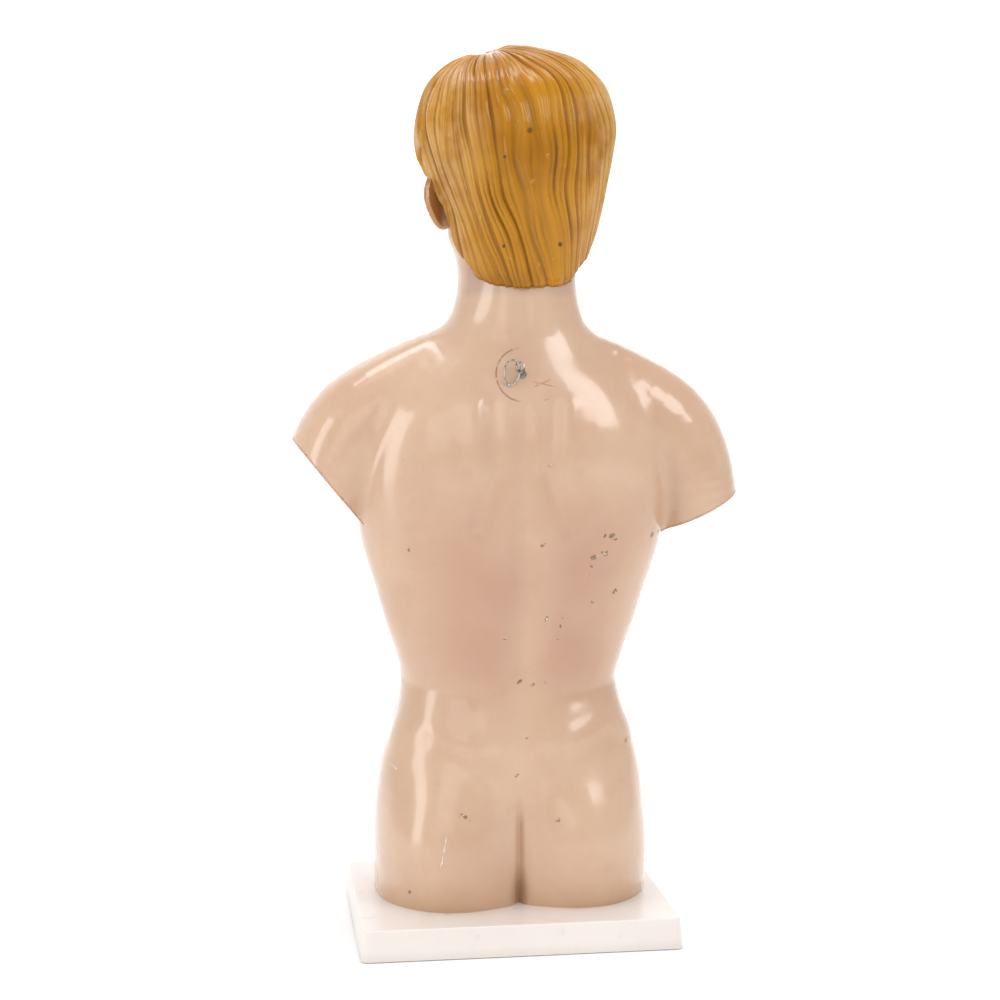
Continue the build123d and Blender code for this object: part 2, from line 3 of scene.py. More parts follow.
import bmesh
import bpy
import numpy as np
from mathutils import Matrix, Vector


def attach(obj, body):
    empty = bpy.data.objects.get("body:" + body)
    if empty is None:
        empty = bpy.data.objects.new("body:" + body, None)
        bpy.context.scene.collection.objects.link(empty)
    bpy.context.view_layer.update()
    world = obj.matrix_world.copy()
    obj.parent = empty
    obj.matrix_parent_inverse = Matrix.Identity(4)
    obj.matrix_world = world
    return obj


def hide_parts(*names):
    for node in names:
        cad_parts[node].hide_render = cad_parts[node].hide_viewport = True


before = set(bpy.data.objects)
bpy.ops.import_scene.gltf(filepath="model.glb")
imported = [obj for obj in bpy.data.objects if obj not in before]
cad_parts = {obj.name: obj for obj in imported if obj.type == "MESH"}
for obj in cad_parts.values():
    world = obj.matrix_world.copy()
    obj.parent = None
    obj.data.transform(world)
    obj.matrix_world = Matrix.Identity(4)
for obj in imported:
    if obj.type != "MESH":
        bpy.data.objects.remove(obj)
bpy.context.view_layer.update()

MM = 0.001
X0, XH = -3.0, -6.3
WALL = 3.0
CAP_T = 0.9


# ------------------------------------------------------------------ small numeric helpers (millimetres)
def spline_table(xs, ys, lo, hi, n):
    """Natural cubic spline through the points, sampled on n even steps."""
    xs, ys = np.asarray(xs, float), np.asarray(ys, float)
    h = np.diff(xs)
    m = len(xs)
    A = np.zeros((m, m))
    b = np.zeros(m)
    A[0, 0] = A[-1, -1] = 1
    for i in range(1, m - 1):
        A[i, i - 1], A[i, i], A[i, i + 1] = h[i - 1], 2 * (h[i - 1] + h[i]), h[i]
        b[i] = 6 * ((ys[i + 1] - ys[i]) / h[i] - (ys[i] - ys[i - 1]) / h[i - 1])
    M = np.linalg.solve(A, b)
    q = np.linspace(lo, hi, n)
    i = np.clip(np.searchsorted(xs, q) - 1, 0, m - 2)
    t = np.clip(q, xs[0], xs[-1])
    a_, b_ = xs[i + 1] - t, t - xs[i]
    return q, (M[i] * a_ ** 3 + M[i + 1] * b_ ** 3) / (6 * h[i]) + (ys[i] / h[i] - M[i] * h[i] / 6) * a_ + (
        ys[i + 1] / h[i] - M[i + 1] * h[i] / 6) * b_


class Table:
    """Several quantities along z, smoothly interpolated."""

    def __init__(self, rows):
        rows = np.asarray(rows, float)
        self.lo, self.hi = rows[0, 0], rows[-1, 0]
        self.q = None
        self.cols = []
        for c in range(1, rows.shape[1]):
            self.q, v = spline_table(rows[:, 0], rows[:, c], self.lo, self.hi, 1200)
            self.cols.append(v)

    def at(self, z, c):
        return np.interp(z, self.q, self.cols[c])


def smin(a, b, k):
    h = np.clip(0.5 + 0.5 * (b - a) / k, 0, 1)
    return b + (a - b) * h - k * h * (1 - h)


def smax(a, b, k):
    return -smin(-a, -b, k)


def sstep(e0, e1, x):
    t = np.clip((x - e0) / (e1 - e0), 0, 1)
    return t * t * (3 - 2 * t)


def gs(x, w):
    return np.exp(-(x / w) ** 2)


def ell(x, y, z, c, r):
    px, py, pz = x - c[0], y - c[1], z - c[2]
    k0 = np.sqrt((px / r[0]) ** 2 + (py / r[1]) ** 2 + (pz / r[2]) ** 2)
    k1 = np.sqrt((px / r[0] ** 2) ** 2 + (py / r[1] ** 2) ** 2 + (pz / r[2] ** 2) ** 2)
    return k0 * (k0 - 1) / np.maximum(k1, 1e-6)


def capsule(x, y, z, a, b, ra, rb):
    bx, by, bz = b[0] - a[0], b[1] - a[1], b[2] - a[2]
    L = bx * bx + by * by + bz * bz
    t = np.clip(((x - a[0]) * bx + (y - a[1]) * by + (z - a[2]) * bz) / L, 0, 1)
    d = np.sqrt((x - a[0] - bx * t) ** 2 + (y - a[1] - by * t) ** 2 + (z - a[2] - bz * t) ** 2)
    return d - (ra + (rb - ra) * t)


def seg2(x, z, a, b):
    """Distance from (x, z) to a segment."""
    bx, bz = b[0] - a[0], b[1] - a[1]
    t = np.clip(((x - a[0]) * bx + (z - a[1]) * bz) / (bx * bx + bz * bz), 0, 1)
    return np.sqrt((x - a[0] - bx * t) ** 2 + (z - a[1] - bz * t) ** 2), t


def poly2(x, z, pts):
    d = None
    for a, b in zip(pts, pts[1:]):
        e, _ = seg2(x, z, a, b)
        d = e if d is None else np.minimum(d, e)
    return d


# ------------------------------------------------------------------ the figure's stations
# z, half width, middle x, front y, back y, widest y, front power, back power
TRUNK = Table([
    (0.0, 78.7, X0, -56.0, 36.5, -14.0, 2.35, 2.9),
    (17.5, 78.7, X0, -56.0, 37.5, -14.0, 2.35, 2.9),
    (33.0, 78.7, X0, -57.0, 38.0, -14.0, 2.35, 2.85),
    (50.0, 79.0, X0, -58.0, 38.0, -13.5, 2.35, 2.75),
    (66.0, 78.2, X0, -58.0, 38.0, -13.0, 2.35, 2.65),
    (82.0, 76.5, X0, -58.0, 37.5, -13.0, 2.35, 2.6),
    (98.0, 73.4, X0, -58.0, 36.5, -13.0, 2.35, 2.5),
    (112.0, 68.8, X0, -58.0, 34.5, -13.0, 2.3, 2.4),
    (126.0, 65.0, X0, -58.0, 32.0, -13.0, 2.3, 2.4),
    (140.0, 63.1, X0, -58.0, 30.5, -13.0, 2.3, 2.4),
    (156.0, 65.8, X0, -58.0, 30.0, -12.5, 2.35, 2.4),
    (175.0, 72.1, X0, -58.5, 31.5, -12.0, 2.4, 2.45),
    (196.0, 77.9, X0, -60.0, 34.5, -11.0, 2.4, 2.5),
    (217.0, 84.4, X0, -62.0, 38.0, -10.0, 2.4, 2.6),
    (238.0, 88.0, X0, -63.5, 40.5, -9.0, 2.45, 2.7),
    (260.0, 89.0, X0, -63.5, 42.0, -8.0, 2.5, 2.8),
    (281.0, 86.0, X0, -61.0, 42.5, -6.0, 2.5, 2.8),
    (300.0, 77.0, X0, -54.5, 40.5, -4.0, 2.4, 2.7),
    (317.3, 62.0, X0 - 0.6, -46.0, 36.5, -2.0, 2.3, 2.5),
    (330.0, 49.0, X0 - 1.6, -39.0, 32.8, -1.0, 2.2, 2.3),
    (342.0, 40.8, X0 - 2.4, -36.0, 30.2, -1.5, 2.1, 2.2),
    (353.0, 36.4, X0 - 2.9, -36.5, 29.0, -2.5, 2.05, 2.1),
    (366.0, 33.7, X0 - 3.1, -38.5, 28.5, -4.0, 2.05, 2.1),
    (380.0, 33.8, XH, -41.0, 27.5, -6.0, 2.05, 2.1),
    (394.0, 34.5, XH, -43.0, 27.0, -8.0, 2.05, 2.1),
    (410.0, 34.5, XH, -43.0, 27.0, -8.0, 2.05, 2.1),
])
HAIR = Table([
    (360.0, 35.0, XH, -30.0, 31.8, -1.0, 2.1, 2.1),
    (366.0, 35.4, XH, -31.0, 32.2, -1.0, 2.1, 2.1),
    (380.0, 38.6, XH, -38.0, 36.0, -3.0, 2.1, 2.12),
    (395.0, 43.8, XH, -46.0, 41.3, -5.0, 2.1, 2.15),
    (410.0, 48.2, XH, -54.0, 46.0, -6.0, 2.15, 2.2),
    (425.0, 51.9, XH, -60.0, 49.3, -7.0, 2.2, 2.2),
    (440.0, 55.0, XH, -64.0, 51.5, -7.0, 2.2, 2.2),
    (453.0, 56.4, XH, -66.5, 52.0, -7.5, 2.2, 2.2),
    (466.0, 53.9, XH, -66.5, 50.0, -8.0, 2.2, 2.2),
    (478.0, 48.5, XH, -60.0, 44.5, -8.0, 2.15, 2.15),
    (487.0, 39.6, XH, -48.5, 35.0, -8.0, 2.1, 2.1),
    (494.5, 26.0, XH, -32.0, 20.0, -8.0, 2.0, 2.0),
    (499.6, 6.0, XH, -14.0, -2.0, -8.0, 2.0, 2.0),
])


def radial(tab, x, y, z):
    """Signed radial distance to a station-table form."""
    zc = np.clip(z, tab.lo, tab.hi)
    hw, cx, yf, yb, cy = (tab.at(zc, i) for i in range(5))
    back = y >= cy
    d = np.where(back, yb - cy, cy - yf)
    n = np.where(back, tab.at(zc, 6), tab.at(zc, 5))
    dx, dy = x - cx, y - cy
    r = (np.abs(dx / hw) ** n + np.abs(dy / d) ** n) ** (1.0 / n)
    rho = np.sqrt(dx * dx + dy * dy)
    return np.where(r < 1e-3, -np.minimum(hw, d), rho * (1 - 1 / np.maximum(r, 1e-3)))


ARM = [  # dx from X0, y, z, dir x, dir z, radius across, radius along y
    (124.5, -8.5, 206.0, -0.452, 0.892, 22.5, 26.0),
    (116.5, -8.5, 222.5, -0.452, 0.892, 23.5, 27.5),
    (109.5, -8.5, 237.2, -0.452, 0.892, 24.4, 28.5),
    (103.2, -8.0, 256.0, -0.452, 0.892, 26.6, 30.5),
    (96.0, -7.5, 273.0, -0.60, 0.80, 28.4, 31.5),
    (85.5, -6.0, 289.0, -0.80, 0.60, 28.6, 30.5),
    (66.0, -4.0, 302.5, -0.91, 0.41, 27.4, 27.0),
    (44.0, -2.0, 315.0, -0.91, 0.42, 24.8, 22.5),
    (22.0, 0.0, 327.0, -0.93, 0.37, 20.0, 17.0),
]
CUT = {1: (101.3 + 3.0, 259.1, 0.776, -0.631), -1: (-112.2, 237.2, -0.452, -0.892)}


def arm_field(side, x, y, z):
    """Swept ellipse along the arm's line, as a radial distance."""
    rows = np.array(ARM, float)
    t0 = np.arange(len(rows))
    fine = [spline_table(t0, rows[:, c], 0, len(rows) - 1, 25)[1] for c in (0, 1, 2, 5, 6)]
    X, Y, Z, RA, RY = fine
    dx = (x - X0) * side
    best = np.full(x.shape, 1e9)
    for i in range(len(X) - 1):
        bx, bz = X[i + 1] - X[i], Z[i + 1] - Z[i]
        L = bx * bx + bz * bz
        t = np.clip(((dx - X[i]) * bx + (z - Z[i]) * bz) / L, 0, 1)
        px, pz = dx - X[i] - bx * t, z - Z[i] - bz * t
        yc = Y[i] + (Y[i + 1] - Y[i]) * t
        ra, ry = RA[i] + (RA[i + 1] - RA[i]) * t, RY[i] + (RY[i + 1] - RY[i]) * t
        py = y - yc
        r = np.sqrt((px * px + pz * pz) / ra ** 2 + (py / ry) ** 2)
        rho = np.sqrt(px * px + pz * pz + py * py)
        f = np.where(r < 1e-3, -ra, rho * (1 - 1 / np.maximum(r, 1e-3)))
        best = np.minimum(best, f)
    return best


def cut_plane(side, x, z):
    px, pz, nx, nz = CUT[side]
    return (x - px) * nx + (z - pz) * nz


def back_relief(xb, z):
    """Outward relief of the back, mm."""
    a = np.abs(xb)
    d = -2.3 * gs(xb, 6.0) * sstep(140, 190, z) * (1 - sstep(285, 312, z))
    d += -1.3 * gs(xb, 15.0) * gs(z - 158, 42)
    d += 1.5 * gs(a - 17, 9.5) * gs(z - 168, 52)
    d += 3.0 * gs(a - 47, 17) * gs(z - 272, 27)
    d += 1.6 * gs(poly2(a, z, [(27, 300), (25, 265), (36, 238)]) , 7.0)
    d += -1.6 * gs(poly2(a, z, [(17, 300), (15, 262), (26, 232)]), 6.0)
    d += -2.6 * gs(a - 37, 15) * gs(z - 218, 19)
    d += 2.2 * gs(a - 69, 14) * gs(z - 222, 34)
    d += -1.2 * gs(poly2(a, z, [(52, 205), (40, 165), (30, 140)]), 8.0)
    d += 1.8 * gs(poly2(a, z, [(70, 112), (52, 121), (32, 113)]), 8.0)
    d += -1.3 * gs(poly2(a, z, [(64, 142), (48, 139), (30, 134)]), 7.0)
    d += -0.9 * gs(a - 17, 5.5) * gs(z - 103, 6)
    return d


def front_relief(xb, z):
    a = np.abs(xb)
    pec = gs(a - 37, 23) * gs(z - 272, 24) * sstep(242, 256, z + 0.10 * a)
    d = 6.2 * pec
    d += -1.9 * gs(xb, 4.6) * gs(z - 276, 34)
    d += -1.0 * gs(xb, 4.5) * gs(z - 192, 52)
    d += 1.5 * gs(a - 16, 11) * gs(z - 192, 50)
    for zc in (176.0, 201.0, 225.0):
        d += -0.9 * gs(z - zc - 0.05 * a, 3.2) * gs(a - 15, 12)
    d += -1.1 * gs(poly2(a, z, [(6, 246), (22, 236), (44, 212), (58, 196)]), 4.2)
    d += 1.0 * gs(poly2(a, z, [(14, 250), (36, 231), (58, 205)]), 6.0)
    for k, zc in enumerate((222.0, 207.0, 192.0)):
        d += 0.8 * gs(poly2(a, z, [(60, zc + 6), (76, zc - 8)]), 4.5)
    d += -1.2 * gs(poly2(a, z, [(31, 200), (33, 160), (30, 125)]), 5.0)
    d += 2.4 * gs(xb, 36) * gs(z - 108, 30)
    d += -2.0 * gs(poly2(a, z, [(70, 112), (52, 84), (34, 58), (18, 36)]), 5.0)
    d += 1.6 * gs(poly2(a, z, [(72, 124), (56, 100)]), 6.0)
    d += -3.2 * gs(xb, 2.5) * gs(z - 147, 3.6) + 0.7 * gs(xb, 6) * gs(z - 147, 8)
    d += 5.0 * gs(xb, 15) * gs(z - 33, 17)
    d += -1.6 * gs(xb, 3.0) * (1 - sstep(18, 26, z))
    r = np.sqrt((a - 44) ** 2 + (z - 259) ** 2)
    d += 0.45 * (1 - sstep(4.0, 5.4, r)) + 1.1 * gs(r, 1.5)
    d += 2.3 * gs(poly2(a, z, [(5, 325), (24, 329), (48, 327), (72, 325)]), 3.4)
    d += -2.2 * gs(poly2(a, z, [(22, 340), (48, 337)]), 5.0)
    d += -2.4 * gs(xb, 5) * gs(z - 334, 5)
    return d


def neck_relief(x, y, z):
    a = np.abs(x - (X0 - 3.0))
    front = sstep(8, -14, y)
    d = 1.9 * gs(poly2(a, z, [(7, 333), (17, 355), (30, 384)]), 4.2) * front
    d += 1.5 * gs(a, 6) * gs(z - 359, 8) * front
    d += -1.2 * gs(a - 10, 4) * gs(z - 350, 14) * front
    d += 1.0 * gs(a - 13, 7) * sstep(335, 350, z) * sstep(5, 20, y)
    d += -0.8 * gs(a, 5) * sstep(335, 350, z) * sstep(5, 20, y)
    return d


# ------------------------------------------------------------------ head
def ear_field(side, x, y, z):
    """Outer ear as a dished plate with a rolled rim; side 1 is the figure's left."""
    flare = math.radians(41 if side > 0 else 22)
    ax, ay = (x - XH) * side - 38.0, y + 7.5
    s = ax * math.cos(flare) + ay * math.sin(flare)
    w = ax * math.sin(flare) - ay * math.cos(flare)
    t = z - 413.0
    t = t - 0.16 * s
    s0 = 7.0 + 0.9 * t / 15.0
    R1 = 10.6 - 2.6 * sstep(-2, -15, t)
    R2 = 15.4
    q = np.sqrt(((s - s0) / R1) ** 2 + (t / R2) ** 2)
    rim = (q - 0.86) * 12.0
    plate = np.maximum(np.abs(w - 0.05 * (s - 4)) - 1.25, (q - 0.97) * 11.0)
    helix = np.sqrt(rim ** 2 + (w - 1.9) ** 2) - 1.75
    helix = np.where((s < 1.0) & (t < -6), helix + 4, helix)
    anti = np.sqrt(((q - 0.55) * 12) ** 2 + (w - 1.4) ** 2) - 1.35
    anti = anti + 3 * sstep(3.5, 0.0, s)
    tragus = np.sqrt((s - 0.6) ** 2 / 1.3 + (t + 2.0) ** 2 / 3.0 + (w - 2.4) ** 2 / 1.6) - 1.7
    lobe = np.sqrt(((s - 4.4) / 1.05) ** 2 + ((t + 11.6) / 1.1) ** 2 + ((w - 0.8) / 0.55) ** 2) * 0.72 - 2.9
    root = np.sqrt((s + 0.5) ** 2 / 1.0 + (t + 0.5) ** 2 / 9.0 + (w + 1.2) ** 2 / 2.4) - 3.6
    f = smin(plate, helix, 1.0)
    f = smin(f, anti, 1.0)
    f = smin(f, tragus, 1.2)
    f = smin(f, lobe, 1.6)
    return smin(f, root, 2.4)


def head_field(x, y, z):
    hx = x - XH
    a = np.abs(hx)
    f = ell(hx, y, z, (0, -8.5, 446), (42.5, 51.5, 46))
    face = ell(a, y, z, (0, -30, 415), (36.5, 33.5, 46))
    f = smin(f, face, 8)
    jaw = capsule(a, y, z, (29.5, -10, 396), (11, -46, 379), 8.5, 9.0)
    f = smin(f, jaw, 12)
    chin = ell(a, y, z, (0, -50, 379.5), (13.5, 12.6, 10.5))
    f = smin(f, chin, 7)
    low = y < -15
    cheek = ell(a, y, z, (25, -43, 415), (11, 12, 9))
    f = smin(f, cheek, 9)
    brow = capsule(a, y, z, (6, -60.0, 433), (25, -51.0, 435), 4.2, 3.6)
    f = smin(f, brow, 5)
    # sockets and eyeballs
    sock = ell(a, y, z, (15.5, -62.5, 426.5), (9.5, 7.0, 6.0))
    f = smax(f, -sock, 4.5)
    nose = capsule(hx, y, z, (0, -60.0, 431), (0, -69.5, 408.0), 4.0, 5.0)
    nose = smin(nose, ell(hx, y, z, (0, -71.0, 406.0), (5.6, 5.4, 5.0)), 3)
    nose = smin(nose, ell(a, y, z, (5.6, -65.8, 404.6), (3.9, 5.6, 3.9)), 2.2)
    f = smin(f, nose, 3.6)
    nostril = ell(a, y, z, (3.2, -68.6, 400.9), (1.7, 2.8, 2.2))
    f = smax(f, -nostril, 0.9)
    f = smax(f, -ell(hx, y, z, (0, -67.2, 397.0), (1.9, 3.0, 4.0)), 2.0)
    # lips
    mouth = ell(hx, y, z, (0, -57.5, 391.5), (14.5, 7.6, 9.5))
    f = smin(f, mouth, 5)
    up = smin(ell(a, y, z, (4.4, -63.4, 393.7), (6.9, 3.7, 2.3)), ell(hx, y, z, (0, -64.4, 393.2), (3.2, 3.2, 2.0)), 1.4)
    lo = ell(hx, y, z, (0, -62.8, 388.6), (9.4, 4.2, 2.9))
    f = smin(f, up, 1.3)
    f = smin(f, lo, 1.5)
    line = 391.2 + 0.35 * np.cos(hx / 3.2) - 0.006 * hx * hx
    part = np.sqrt(((z - line) / 0.55) ** 2 + ((y + 66.8 + -0.012 * hx * hx) / 2.6) ** 2) - 1 + 4 * sstep(10.5, 12.5, a)
    f = smax(f, -part * 0.7, 0.7)
    f = smax(f, -ell(hx, y, z, (0, -66.3, 382.8), (10, 4.6, 2.5)), 3.4)
    ball = np.sqrt((a - 15.3) ** 2 + (y + 52.4) ** 2 + (z - 426.6) ** 2) - 8.6
    lid = np.sqrt((a - 15.3) ** 2 + (y + 52.4) ** 2 + (z - 426.6) ** 2) - 9.5
    ex = (a - 15.3) / 8.6
    top = 426.6 + 2.5 * np.sqrt(np.clip(1 - ex ** 2, 0, 1)) + 0.5 * ex
    bot = 426.6 - 2.2 * np.sqrt(np.clip(1 - ex ** 2, 0, 1)) + 0.4 * ex
    open_ = np.maximum(z - top, bot - z)
    lid = smax(lid, -open_ - 0.0, 0.5)
    f = smin(f, lid, 1.6)
    f = np.minimum(f, ball)
    return f


def trunk_field(x, y, z):
    """Torso and neck without the arms and head."""
    f = radial(TRUNK, x, y, z)
    xb = x - X0
    a = np.abs(xb)
    low = z < 120
    if low.any():
        g = f.copy()
        gl = ell(a[low], y[low], z[low], (35.5, 9.5, 44), (39.0, 36.5, 60))
        g[low] = smin(f[low], gl, 7.0)
        f = g
    cy = np.interp(z, TRUNK.q, TRUNK.cols[4])
    wb = sstep(-2, 16, y - cy) * (z < 345)
    wf = sstep(2, -18, y - cy) * (z < 345)
    rel = back_relief(xb, z) * wb + front_relief(xb, z) * wf
    cleft = 2.6 * gs(xb, 1.9) * sstep(82, 62, z) + 3.4 * gs(xb, 4.6) * sstep(54, 22, z) + 4.0 * gs(xb, 11.0) * sstep(106, 60, z)
    cleft = cleft + 2.0 * gs(xb, 14.0) * gs(z - 98, 14)
    rel = rel - cleft * sstep(5, 20, y) * (y > 0)
    nk = z > 325
    f = f - rel
    if nk.any():
        f[nk] = f[nk] - neck_relief(x[nk], y[nk], z[nk]) * sstep(325, 342, z[nk])
    top = z > 396
    f = np.where(top, np.maximum(f, z - 402), f)
    return f


def body_field(x, y, z, ears=True):
    """The whole skin surface, without the hair; negative inside."""
    f = trunk_field(x, y, z)
    for side in (1, -1):
        m = ((x - X0) * side > 8) & (z > 196) & (z < 362)
        if m.any():
            arm = arm_field(side, x[m], y[m], z[m])
            arm = arm - 1.2 * gs((z[m] - 268), 26) * gs(((x[m] - X0) * side - 118), 22)
            cut = cut_plane(side, x[m], z[m])
            torso = f[m]
            g = smin(torso, arm, 8.0)
            # the stump ends at its plane, fading into the armpit's crease
            cut = cut + CAP_T
            f[m] = np.minimum(torso, np.maximum(g, cut))
    m = z > 350
    if m.any():
        h = head_field(x[m], y[m], z[m])
        f[m] = smin(f[m], h, 7.0)
    if ears:
        m = (x - XH > 28) & (z > 390) & (z < 436) & (y > -25) & (y < 20)
        if m.any():
            f[m] = smin(f[m], ear_field(1, x[m], y[m], z[m]), 1.6)
    return np.maximum(f, 12.0 - z)


def inner_field(x, y, z):
    """The cavity's surface: the same form without fine relief, a wall further in."""
    f = radial(TRUNK, x, y, z)
    cy = np.interp(z, TRUNK.q, TRUNK.cols[4])
    f = f + 5.0 * gs(x - X0, 5.5) * sstep(98, 70, z) * sstep(5, 20, y)
    f = f + 2.0 * sstep(0, 12, y - cy) * gs(x - X0, 24) * (z < 345)
    f = np.maximum(f, z - 398)
    for side in (1, -1):
        m = ((x - X0) * side > 8) & (z > 190) & (z < 362)
        if m.any():
            arm = np.maximum(arm_field(side, x[m], y[m], z[m]), cut_plane(side, x[m], z[m]) + WALL)
            f[m] = smin(f[m], arm, 6.0)
    m = z > 350
    if m.any():
        hx, yy, zz = x[m] - XH, y[m], z[m]
        h = smin(ell(hx, yy, zz, (0, -8.5, 446), (42.5, 51.5, 46)), ell(hx, yy, zz, (0, -26, 415), (32, 30, 44)), 8)
        f[m] = smin(f[m], h, 7.0)
    return np.maximum(f + WALL + 1.4, 10.0 - z)


# ------------------------------------------------------------------ polygonising
def axis_steps(parts):
    out = [parts[0][0]]
    for lo, hi, step in parts:
        n = max(1, int(round((hi - lo) / step)))
        out += list(lo + (hi - lo) * np.arange(1, n + 1) / n)
    return np.array(out)


def sample_band(fun, xs, ys, zs, block=6, pad=1.35):
    """The field on a rectilinear grid, exact only near the surface."""
    F = np.empty((len(xs), len(ys), len(zs)), np.float32)
    ci = [np.minimum(np.arange(0, len(v) + block, block), len(v) - 1) for v in (xs, ys, zs)]
    ci = [np.unique(c) for c in ci]
    mid = [0.5 * (v[c[:-1]] + v[c[1:]]) for v, c in zip((xs, ys, zs), ci)]
    half = [0.5 * (v[c[1:]] - v[c[:-1]]) for v, c in zip((xs, ys, zs), ci)]
    G = np.meshgrid(*mid, indexing="ij")
    coarse = fun(*[g.ravel() for g in G]).reshape(G[0].shape)
    H = np.meshgrid(*half, indexing="ij")
    rad = np.sqrt(H[0] ** 2 + H[1] ** 2 + H[2] ** 2) * pad + 4.0
    F[:] = 1.0
    act = np.argwhere(np.abs(coarse) < rad)
    sgn = np.where(coarse < 0, -1.0, 1.0)
    for i in range(len(mid[0])):
        for j in range(len(mid[1])):
            xa, xb = ci[0][i], ci[0][i + 1]
            ya, yb = ci[1][j], ci[1][j + 1]
            row = np.repeat(sgn[i, j], np.diff(ci[2]))
            F[xa:xb + 1, ya:yb + 1, :len(row)] = row[None, None, :]
            F[xa:xb + 1, ya:yb + 1, len(row):] = row[-1]
    need = np.zeros(F.shape, bool)
    for i, j, k in act:
        need[ci[0][i]:ci[0][i + 1] + 1, ci[1][j]:ci[1][j + 1] + 1, ci[2][k]:ci[2][k + 1] + 1] = True
    I, J, K = np.nonzero(need)
    step = 400000
    for s in range(0, len(I), step):
        sl = slice(s, s + step)
        F[I[sl], J[sl], K[sl]] = fun(xs[I[sl]], ys[J[sl]], zs[K[sl]])
    return F


def gradient(fun, P, e=0.2):
    """Field gradient from four samples."""
    k = np.array([(1, 1, 1), (1, -1, -1), (-1, 1, -1), (-1, -1, 1)], float)
    g = np.zeros_like(P)
    for d in k:
        g += d[None, :] * fun(*(P + d * e).T)[:, None]
    return g / (4 * e)


def contour(fun, xs, ys, zs, block=6):
    """Closed quad mesh of the zero surface, keeping sharp edges."""
    F = sample_band(fun, xs, ys, zs, block)
    nx, ny, nz = F.shape
    ins = F < 0
    ids, rec, quads = [], [], []
    base = 0
    allP = []
    for ax in range(3):
        sl0, sl1 = [slice(None)] * 3, [slice(None)] * 3
        sl0[ax], sl1[ax] = slice(0, -1), slice(1, None)
        I, J, K = np.nonzero(ins[tuple(sl0)] != ins[tuple(sl1)])
        keep = (I > 0) & (J > 0) & (K > 0) & (I < nx - 1) & (J < ny - 1) & (K < nz - 1)
        I, J, K = I[keep], J[keep], K[keep]
        off = [0, 0, 0]
        off[ax] = 1
        A = F[I, J, K].astype(float)
        B = F[I + off[0], J + off[1], K + off[2]].astype(float)
        a = np.stack([xs[I], ys[J], zs[K]], 1)
        b = np.stack([xs[I + off[0]], ys[J + off[1]], zs[K + off[2]]], 1)
        ta, tb, fa, fb = np.zeros(len(I)), np.ones(len(I)), A.copy(), B.copy()
        for _ in range(2):
            t = ta + (tb - ta) * np.clip(fa / (fa - fb), 0.02, 0.98)
            f = fun(*(a + (b - a) * t[:, None]).T)
            same = (f < 0) == (fa < 0)
            ta, fa = np.where(same, t, ta), np.where(same, f, fa)
            tb, fb = np.where(same, tb, t), np.where(same, fb, f)
        t = ta + (tb - ta) * fa / (fa - fb)
        allP.append(a + (b - a) * t[:, None])
        u, v = [(1, 2), (2, 0), (0, 1)][ax]
        around = []
        for du, dv in ((0, 0), (1, 0), (1, 1), (0, 1)):
            o = [0, 0, 0]
            o[u], o[v] = du, dv
            c = ((I - o[0]) * ny + (J - o[1])) * nz + (K - o[2])
            ids.append(c)
            rec.append(np.arange(base, base + len(I)))
            around.append(c)
        base += len(I)
        q = np.stack(around, 1)
        out = A > 0
        q[out] = q[out][:, ::-1]
        quads.append(q)
    P = np.concatenate(allP)
    N = gradient(fun, P)
    N /= np.maximum(np.linalg.norm(N, axis=1), 1e-9)[:, None]
    ids, rec, quads = np.concatenate(ids), np.concatenate(rec), np.concatenate(quads)
    uid, inv = np.unique(ids, return_inverse=True)
    cnt = np.bincount(inv).astype(float)
    Pr, Nr = P[rec], N[rec]
    mass = np.stack([np.bincount(inv, Pr[:, c]) / cnt for c in range(3)], 1)
    rel = Pr - mass[inv]
    d = (Nr * rel).sum(1)
    M = np.empty((len(uid), 3, 3))
    rhs = np.empty((len(uid), 3))
    for i in range(3):
        for j in range(i, 3):
            M[:, i, j] = M[:, j, i] = np.bincount(inv, Nr[:, i] * Nr[:, j])
        rhs[:, i] = np.bincount(inv, Nr[:, i] * d)
    M += np.eye(3)[None] * (0.06 * cnt)[:, None, None]
    move = np.linalg.solve(M, rhs[:, :, None])[:, :, 0]
    I, rest = uid // (ny * nz), uid % (ny * nz)
    J, K = rest // nz, rest % nz
    lo = np.stack([xs[I], ys[J], zs[K]], 1)
    hi = np.stack([xs[I + 1], ys[J + 1], zs[K + 1]], 1)
    V = np.clip(mass + move, lo - 0.02, hi + 0.02)
    return V, np.searchsorted(uid, quads)


# ------------------------------------------------------------------ meshes
def to_object(name, V, faces, smooth=True):
    me = bpy.data.meshes.new(name)
    me.from_pydata((np.asarray(V) * MM).tolist(), [], [list(map(int, f)) for f in faces])
    me.validate()
    me.update()
    if smooth:
        me.polygons.foreach_set("use_smooth", [True] * len(me.polygons))
    ob = bpy.data.objects.new(name, me)
    bpy.context.scene.collection.objects.link(ob)
    return ob


def sharpen(bm, limit=0.75):
    for e in bm.edges:
        if len(e.link_faces) == 2:
            e.smooth = e.calc_face_angle(0.0) < limit


def cut_and_fill(bm, co, no):
    """Drop everything on the normal's side of a plane and close the cut."""
    geom = bm.verts[:] + bm.edges[:] + bm.faces[:]
    res = bmesh.ops.bisect_plane(bm, geom=geom, dist=0.003, plane_co=co, plane_no=no, clear_outer=True)
    edges = [e for e in res["geom_cut"] if isinstance(e, bmesh.types.BMEdge) and len(e.link_faces) == 1]
    made = bmesh.ops.triangle_fill(bm, edges=edges, use_beauty=True, use_dissolve=False, normal=no)
    flat = [f for f in made["geom"] if isinstance(f, bmesh.types.BMFace)]
    n = np.array(no)
    for f in flat:
        f.smooth = False
        if np.dot(np.array(f.normal), n) < 0:
            f.normal_flip()
    return flat


